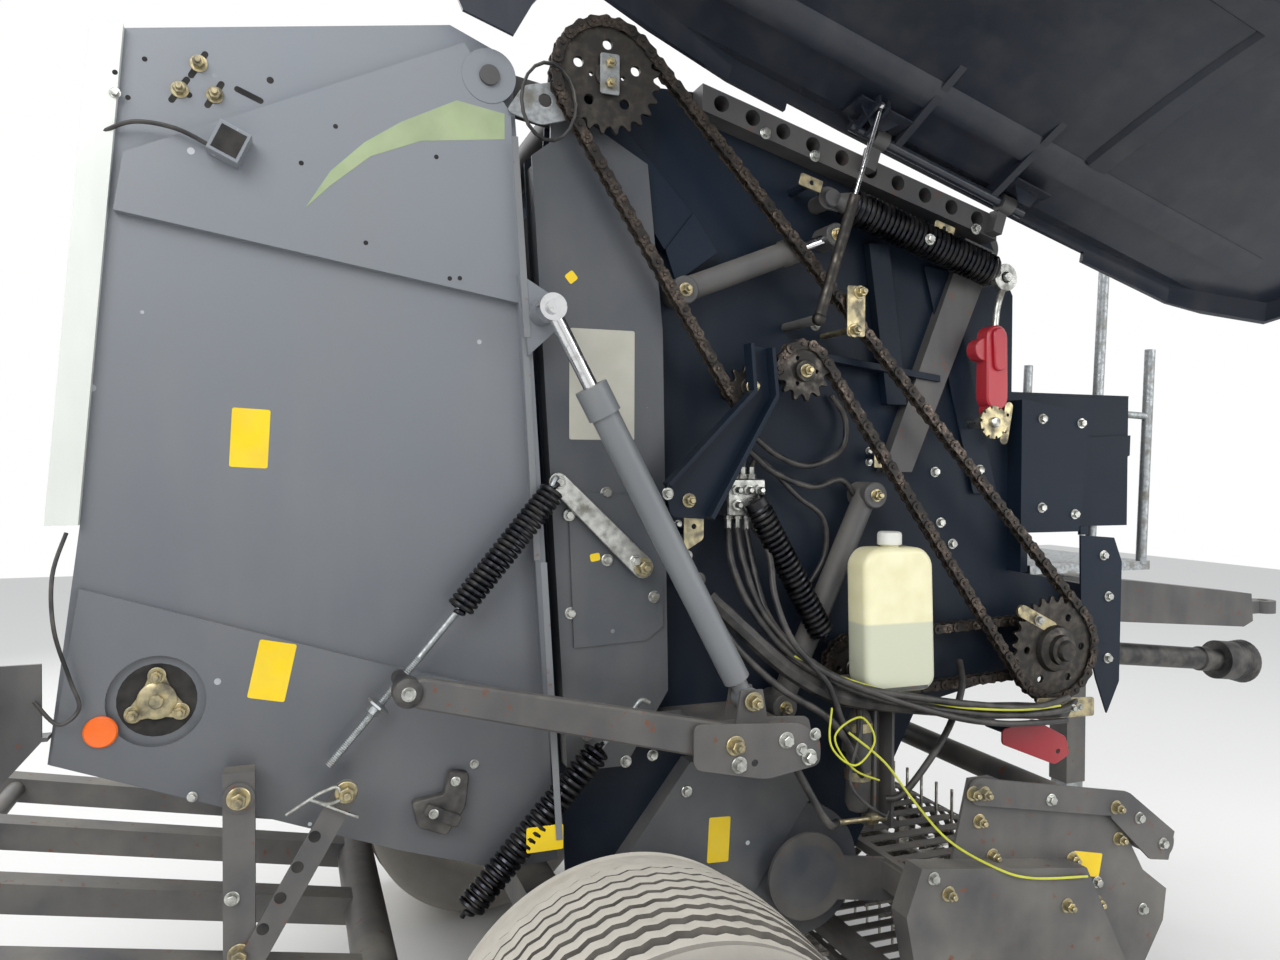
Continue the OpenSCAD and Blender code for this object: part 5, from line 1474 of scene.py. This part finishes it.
# %% Blank films
def film(name, finish, x, z, wide, high, lean, node, thick=0.6, inside=OUTSIDE, felt=None):
    """A thin blank film, leaning by degrees, on the surface felt at one place or under all its corners."""
    felt = felt or [(x + dx, z + dz) for dx in (-wide / 3, wide / 3) for dz in (-high / 3, high / 3)]
    y = max(-skin_depth(u, v, inside) for u, v in felt)
    a = math.radians(lean)
    outline = [(x + u * math.cos(a) - v * math.sin(a), z + u * math.sin(a) + v * math.cos(a))
               for u, v in ((-wide / 2, -high / 2), (wide / 2, -high / 2), (wide / 2, high / 2), (-wide / 2, high / 2))]
    return show(name, finish, [flat_plate(outline, y - 0.4, y + thick, edge=0.1, corner=5)], node)


film("film_tailgate_upper", safety_film, -768, 1769, 74, 122, -3, "tailgate_frame")
film("film_tailgate_lower", safety_film, -726, 1285, 74, 122, -12, "tailgate_frame")
film("film_side_left", safety_film, -160, 886, 84, 56, 0, "tailgate_frame", inside=BESIDE_WALL)
film("film_side_front", safety_film, 305, 790, 58, 112, -3, "side_panels", inside=BESIDE_WALL)
film("film_small_a", safety_film, -78, 2150, 24, 24, 40, "side_panels")
film("film_small_b", safety_film, -20, 1500, 24, 18, 10, "side_panels")
film("film_data", data_film, -2, 1904, 160, 258, 0, "side_panels", 1.2, felt=[(-70, 2010)])
film("film_guard", safety_film, 1146, 740, 92, 58, -12, "pickup_frame")
# The sweep's vinyl is printed with a soft grey-green
sweep_film = moulded("pale_green_film", "#9fae86", "#8e9d78", dust=0.25, roughness=0.4, depth=0.00002)
sweep_outline = [(-659, 2249), (-609, 2330), (-540, 2398), (-465, 2450), (-346, 2512), (-240, 2496), (-240, 2440),
                 (-313, 2430), (-422, 2415), (-528, 2370), (-609, 2300)]
sweep_y = max(-skin_depth(x, z) for x, z in ((-500, 2400), (-346, 2470), (-280, 2460)))
show("pale_sweep", sweep_film, [flat_plate(sweep_outline, sweep_y - 3, sweep_y + 0.5, edge=0.1)],
     "tailgate_frame")
print("sweep", round(sweep_y), "mm out")

# %% [markdown]
# ## Every bolt in its place
#
# Bolts are placed by a ray from outside: it finds the surface that the bolt stands on, so a
# head always sits on its plate. They are sorted by the piece they hold, so each lot moves with
# its own joint.

# %% Where the bolts are
# Node whose body carries them: pattern and its places as (x, z) in mm
BOLTS = {
    "tailgate_frame": [
        (nut_24, [(-862, 2525), (-897, 2468), (-832, 2466), (-943, 1289), (-986, 1214), (-900, 1214)]),
        (head_13, [(-878, 1039), (-400, 960), (-350, 1020), (-1010, 2440), (-304, 1046)])],
    "side_panels": [
        (head_19, [(9, 1650), (-83, 1600), (-77, 1371), (128, 1401), (70, 1491), (10, 1493), (132, 1650), (-35, 1083),
                   (60, 1010), (150, 1000), (218, 920)])],
    "cylinder_brackets": [(nut_30, [(312, 1172)]), (head_24, [(380, 1085), (260, 1040), (440, 1040)])],
    "density_linkage": [
        (nut_30, [(89, 1476), (250, 1085)]), (head_19, [(-116, 1676), (420, 1060), (455, 1092), (-470, 1258)])],
    "frame_beams": [
        (nut_24, [(-8, 2624), (-8, 2578), (650, 2150), (634, 2054), (186, 1634), IDLER, TENSIONER, (200, 2136),
                  (618, 2304), (473, 1110), (734, 1640)]),
        (head_19, [(600, 2083), (240, 1490), (1259, 1499), (1119, 1706), (1240, 1295), (860, 2300), (900, 2420),
                   (420, 2540), (1060, 2360), (560, 2500), (980, 1700), (1000, 1560), (1040, 1500)]),
        (head_13, [(1300, 1062), (1340, 1058), (1172, 1858), (1164, 1812), (767, 1756), (767, 1726), (215, 1570)])],
    "front_shields": [
        (head_19, [(1300, 1850), (1300, 1600), (1440, 1840), (1420, 1580), (1520, 1460), (1540, 1160), (1540, 1340)])],
    "pickup_frame": [
        (nut_24, [(790, 960), (820, 887), (1029, 681), (690, 760), (1180, 640), (1100, 760), (860, 800)]),
        (head_19, [(650, 800), (1180, 690), (1080, 470), (700, 450), (1375, 671), (1300, 840), (1330, 600)])],
    "crop_guard": [(nut_24, [(814, 960), (1223, 876), (1247, 790)]), (head_19, [(1380, 765), (1020, 918)])],
    "bale_ramp": [(nut_30, [(-788, 1051), (-788, 735), (-583, 1040)]), (head_19, [(-801, 850), (-775, 680)])],
}
print("places given:", sum(len(places) for kinds in BOLTS.values() for _, places in kinds))

# %% Bolts on their sheets
# The left-hand side is shut, so only these pieces show their bolts there too
MIRRORED = {"tailgate_frame", "pickup_frame", "crop_guard", "bale_ramp"}
# Bolts start their ray inside the tyres, and a place whose ray misses the sides gets none
WITHIN_TYRES, NEAREST, FURTHEST = 1150, 560, 1140
# A spanner stops anywhere within a hexagon's sixth of a turn
SIXTH = 1.05
lots = 0
for node, kinds in BOLTS.items():
    for part, places in kinds:
        spots = []
        for x, z in places:
            for side, turn in ((-1, OUTWARD), (1, INWARD)):
                y = skin_depth(x, z, WITHIN_TYRES, side)
                if NEAREST < abs(y) < FURTHEST and (side < 0 or node in MIRRORED):
                    spots.append(((x, y, z), turn))
        if spots:
            plating = zinc_yellow if part in (nut_24, nut_30) else zinc_clear
            scatter(f"bolts_{node}_{part.name}", part, plating, spots, node, SIXTH, 7 + lots)
            lots += 1
print("lots of bolts:", lots)

# %% [markdown]
# ## Wheel hubs
#
# Eight studs hold each rim to its hub, and the hub's cap stands out of the rim's middle. The
# studs are the same nuts as elsewhere, in a ring, so the tree sets them too.

# %% Wheel hubs and their studs
STUDS, STUD_RING = 8, 105
hub_profile = [(0, 76), (20, 76), (26, 60), (52, 58), (56, 48), (68, 44)]
for side, node in ((-1, "rim_right"), (1, "rim_left")):
    y = side * track_half * 1000
    cap = turned((0, y + side * 50, tread_r), (0, y + side * 118, tread_r), hub_profile, 32)
    show("hub_cap_" + node, cast_grey, [cap], node)
    spots = [((STUD_RING * math.cos(a), y + side * 56, tread_r + STUD_RING * math.sin(a)), facing((0, side, 0)))
             for a in (math.pi / 4 * k for k in range(STUDS))]
    scatter("wheel_studs_" + node, nut_24, zinc_clear, spots, node, SIXTH, 3)
print("studs on each wheel:", STUDS)

# %% [markdown]
# ## Gauge wheels
#
# The pickup rides on two small wheels. Their tyres have four plain ribs, and the rim is two
# pressed dishes, one from each side, on a hub. Tyre, dishes and hub are each one profile.

# %% Gauge wheels
gauge_low, gauge_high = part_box("gauge_wheel_right")
gauge_r = (gauge_high.z - gauge_low.z) * 500
gauge_x, gauge_z = ((gauge_low.x + gauge_high.x) / 2 - AXLE_X) * 1000, (gauge_low.z + gauge_high.z) * 500
gauge_tread = [(3, 112), (2, 130), (0, gauge_r - 40), (8, gauge_r - 14)]
for k in range(4):
    middle, top = 20 + k * 80 / 3, gauge_r - (2 if k in (0, 3) else 0)
    gauge_tread += [(middle - 10, gauge_r - 7), (middle - 8, top), (middle + 8, top), (middle + 10, gauge_r - 7)]
gauge_tread += [(112, gauge_r - 14), (120, gauge_r - 40), (118, 130), (117, 112)]
dishes = [(0, 116), (4, 116), (10, 106), (44, 100), (48, 44), (68, 44), (72, 100), (106, 106), (112, 116), (116, 116)]
small_hub = [(6, 34), (30, 34), (34, 40), (86, 40), (90, 34), (114, 34)]
for side, node in ((-1, "gauge_wheel_right"), (1, "gauge_wheel_left")):
    low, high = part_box(node)
    y0, y1 = (low.y - CENTRE_Y) * 1000, (high.y - CENTRE_Y) * 1000
    start, end = (gauge_x, y0, gauge_z), (gauge_x, y1, gauge_z)
    wheel = show("small_" + node, hose_rubber, [turned(start, end, gauge_tread, 64)], node)
    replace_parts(wheel, node)
    show("small_rim_" + node, cast_grey, [
        turned((gauge_x, y0 + 2, gauge_z), (gauge_x, y1 - 2, gauge_z), dishes, 48), turned(start, end, small_hub, 24)],
         node)
    nut_y = (y0 if side < 0 else y1) - side * 46
    fifths = [k * 1.2566 for k in range(5)]
    scatter("small_wheel_nuts_" + node, head_13, zinc_clear,
            [((gauge_x + 72 * math.cos(a), nut_y, gauge_z + 72 * math.sin(a)), OUTWARD if side < 0 else INWARD)
             for a in fifths], node, SIXTH, 5)
print("gauge wheel radius:", round(gauge_r))

# %% [markdown]
# ## Driveline guards
#
# A driveline turns fast, so a plastic tube covers it and a folded cone covers each joint. A
# cone's folds are a profile whose every second ring stands 4 mm higher.

# %% Guard cones and collars
def guard_cone(low, high, folds, start):
    """Profile of a folded cone from start, its radius going from low to high."""
    return [(start + t * 9, low + (high - low) * t / folds + (4 if t % 2 else 0)) for t in range(folds)]


def collar(start, end):
    """Profile of a bearing collar on the guard tube."""
    return [(start, 40), (start + 6, 48), (end - 6, 48), (end, 40)]


back, front = Vector((1521, 0, 1087)), Vector((2960, 0, 925))
length = (front - back).length
show("guard_cones", black_plastic, [
    turned(back, front, [(9, 60)] + guard_cone(82, 56, 18, 12)),
    turned(front, back, [(4, 60)] + guard_cone(84, 58, 18, 8)),
    turned(back, front, collar(190, 236)), turned(back, front, collar(length - 260, length - 208))],
    "pto_shaft")
print("driveline is", round(length), "mm long")

# %% [markdown]
# ## Ramp fittings
#
# The bale ramp's strut is pierced so that the ramp can be set, and a bent spring clip holds its
# pin. The clip is one bent wire.

# %% Ramp's clip and holes
clip = bent([(-700, -760, 1010), (-640, -764, 1046), (-600, -764, 1060), (-590, -764, 1030), (-620, -764, 1022),
             (-660, -764, 1040), (-560, -764, 990)], 12)
show("ramp_clip", zinc_clear, [rod(clip, 3.5, 8)], "bale_ramp")
strut_holes = [disc(-744 + 33 * k, 782 + 58 * k, 12, 750.5, 752.6, 0.2) for k in range(4)]
show("ramp_strut_holes", dark_gap, strut_holes, "bale_ramp")
print("holes in the strut:", len(strut_holes))

# %% [markdown]
# ## Rear lamps
#
# The frame has each lamp's box. Its lenses are three boxes beside each other, one amber and two
# red, which stand a little out of it.

# %% Lamp lenses
LENS_START, LENS_PITCH, LENS_WIDE, LENS_LOW, LENS_HIGH = 674, 80, 74, 1196, 1314
lamp_low, lamp_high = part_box("rear_lamps")
lamp_x = (lamp_low.x - AXLE_X) * 1000
BOX_FACES = [(0, 1, 2, 3), (7, 6, 5, 4), (0, 4, 5, 1), (1, 5, 6, 2), (2, 6, 7, 3), (3, 7, 4, 0)]
lens_forms = {"amber": [], "red": []}
for k, kind in enumerate(("amber", "red", "red")):
    y0 = LENS_START + k * LENS_PITCH + 2
    y1 = y0 + LENS_WIDE
    corners = [Vector((lamp_x + dx, -y, z)) for dx in (-4, 10)
               for y, z in ((y0, LENS_LOW), (y1, LENS_LOW), (y1, LENS_HIGH), (y0, LENS_HIGH))]
    lens_forms[kind].append((corners, BOX_FACES))
for kind, finish in (("amber", amber_lens), ("red", red_lens)):
    show("lamp_lenses_" + kind, finish, lens_forms[kind], "rear_lamps", both=True)
print("lenses on each side:", sum(len(forms) for forms in lens_forms.values()))

# %% [markdown]
# ## The tailgate's edge
#
# Where the tailgate shuts against the front wall, a strip covers the gap. It follows the edge
# in three straight stretches.

# %% Edge strip
# Enamel rubbed by the latch: paler, with rust at the scratches
strip_metal = enamel("rubbed_edge_enamel", "#7c7f82", "#6c6f73", dust=0.4, roughness=0.45, rust=0.1)
edge_line = [(-216, 2440), (-186, 2000), (-158, 1500), (-120, 880)]
strip = []
for (x0, z0), (x1, z1) in zip(edge_line, edge_line[1:]):
    y = max(-skin_depth(x0 + (x1 - x0) * t - 8, z0 + (z1 - z0) * t, BESIDE_WALL) for t in (0.1, 0.5, 0.9))
    strip.append(flat_plate([(x0 - 14, z0), (x0, z0), (x1, z1), (x1 - 14, z1)], y - 0.5, y + 1.6, edge=0.4))
show("tailgate_edge_strip", strip_metal, strip, "tailgate_frame")
print("stretches of the strip:", len(strip))

# %% [markdown]
# ## Oil tank
#
# The tank is blown from polyethylene, so all its edges are soft, and the oil shows through the
# wall up to its level. The finish mixes two tones by height at that level.

# %% Tank's finish
OIL_LEVEL = 1.335
# Polyethylene with oil behind it: creamy above the level, greyer below
tank_wall, tree, shader, place = new_finish("polyethylene_with_oil", Roughness=0.36, Subsurface_Weight=0.2,
                                            Subsurface_Scale=0.4)
shader.inputs["Subsurface Radius"].default_value = (0.02, 0.018, 0.01)
level = add(tree, "ShaderNodeSeparateXYZ", {0: place})
wet = add(tree, "ShaderNodeMapRange", {"Value": level.outputs[2], "From Min": OIL_LEVEL, "From Max": OIL_LEVEL - 0.006})
tone = add(tree, "ShaderNodeMix", {0: patches(tree, place, 0.06, 0.35, 0.7), 6: colour("#ece7c2"),
                                   7: colour("#e2dcb2")}, data_type="RGBA")
both = add(tree, "ShaderNodeMix", {0: wet.outputs[0], 6: tone.outputs[2], 7: colour("#c9cbb4")}, data_type="RGBA")
tree.links.new(both.outputs[2], shader.inputs["Base Color"])
print("oil stands", OIL_LEVEL, "m above the ground")

# %% Tank with its cap
NECK_X, TANK_Y = 705, 790
tank_side = [(640, 1500), (770, 1500), (790, 1478), (800, 1190), (785, 1176), (650, 1176), (630, 1195), (622, 1478)]
tank = show("blown_tank", tank_wall, [
    flat_plate(tank_side, 745.5, 834.5, edge=16, corner=26, round_steps=4),
    turned((NECK_X, -TANK_Y, 1492), (NECK_X, -TANK_Y, 1526), [(0, 34), (8, 26), (12, 22), (34, 22)], 32)],
            "oil_tank")
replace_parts(tank, "oil_tank")
cap = [(0, 24), (1, 28), (3, 30), (26, 30), (32, 28), (34, 24)]
show("tank_cap", cap_plastic, [turned((NECK_X, -TANK_Y, 1520), (NECK_X, -TANK_Y, 1556), cap, 36)],
     "oil_tank")

# %% [markdown]
# ## Floor
#
# A plain, pale and matt floor keeps the machine's shadow and throws little colour back at it.

# %% Floor
FLOOR_HALF = 14
floor_mesh = bpy.data.meshes.new("floor")
floor_mesh.from_pydata([(-FLOOR_HALF, -FLOOR_HALF, 0), (FLOOR_HALF, -FLOOR_HALF, 0), (FLOOR_HALF, FLOOR_HALF, 0),
                        (-FLOOR_HALF, FLOOR_HALF, 0)], [], [(0, 1, 2, 3)])
floor = bpy.data.objects.new("floor", floor_mesh)
bpy.context.scene.collection.objects.link(floor)
# Floor paint: matt, so that no lamp mirrors in it
floor_paint, tree, shader, place = new_finish("matt_studio_floor", Roughness=0.9)
shader.inputs["Base Color"].default_value = colour("#dcdbd8")
floor_mesh.materials.append(floor_paint)
print("floor", 2 * FLOOR_HALF, "m square")

# %% [markdown]
# ## Backdrop
#
# The sky has two faces. What the camera sees, straight or in metal and glass, is plain white.
# What lights the machine is softer, and stronger from above than from the horizon. The Light
# Path node tells the two apart.

# %% World
world = bpy.data.worlds.new("studio")
bpy.context.scene.world = world
world.use_nodes = True
tree = world.node_tree
tree.nodes.clear()
rays = add(tree, "ShaderNodeLightPath")
shown = add(tree, "ShaderNodeMath", {0: rays.outputs["Is Camera Ray"], 1: rays.outputs["Is Transmission Ray"]},
            operation="MAXIMUM")
# Metal and glass mirror the same pale background that the camera sees
shown = add(tree, "ShaderNodeMath", {0: shown.outputs[0], 1: rays.outputs["Is Glossy Ray"]}, operation="MAXIMUM")
sky = add(tree, "ShaderNodeSeparateXYZ", {0: add(tree, "ShaderNodeTexCoord").outputs["Generated"]})
glow = add(tree, "ShaderNodeMapRange", {"Value": sky.outputs[2], "From Min": -0.1, "From Max": 0.9,
                                        "To Min": 0.45, "To Max": 1.0})
light = add(tree, "ShaderNodeBackground", {"Color": colour("#f4f7fb"), "Strength": glow.outputs[0]})
white = add(tree, "ShaderNodeBackground", {"Color": colour("#ffffff"), "Strength": 1.0})
both = add(tree, "ShaderNodeMixShader", {0: shown.outputs[0], 1: light.outputs[0], 2: white.outputs[0]})
add(tree, "ShaderNodeOutputWorld", {"Surface": both.outputs[0]})
print("world nodes:", len(tree.nodes))

# %% [markdown]
# ## Lamps
#
# Four large square lamps stand round the machine and aim at its middle. Large lamps give soft
# shadows, and the key lamp on the camera's side is the strongest.

# %% Lamps
# Name, place, watts, side in metres
LAMPS = [
    ("key_lamp", at(-3600, -5200, 5200), 260, 4.0),
    ("fill_lamp", at(4200, -4300, 3200), 110, 4.0),
    ("top_lamp", at(600, 600, 6800), 160, 5.0),
    ("back_lamp", at(-3000, 5200, 4200), 120, 4.0),
]
aim = (cad_box[0] + cad_box[1]) / 2
for name, place, watts, side in LAMPS:
    lamp = bpy.data.lights.new(name, "AREA")
    lamp.shape = "SQUARE"
    lamp.size = side
    lamp.energy = watts
    holder = bpy.data.objects.new(name, lamp)
    bpy.context.scene.collection.objects.link(holder)
    holder.location = place
    holder.rotation_mode = "QUATERNION"
    holder.rotation_quaternion = (aim - place).to_track_quat("-Z", "Y")
print("lamps:", len(LAMPS))

# %% [markdown]
# ## Closing
#
# The prototypes are taken out, and the view transform stays plain.

# %% Close
for part in patterns:
    bpy.data.objects.remove(part)
bpy.context.scene.view_settings.view_transform = "Standard"
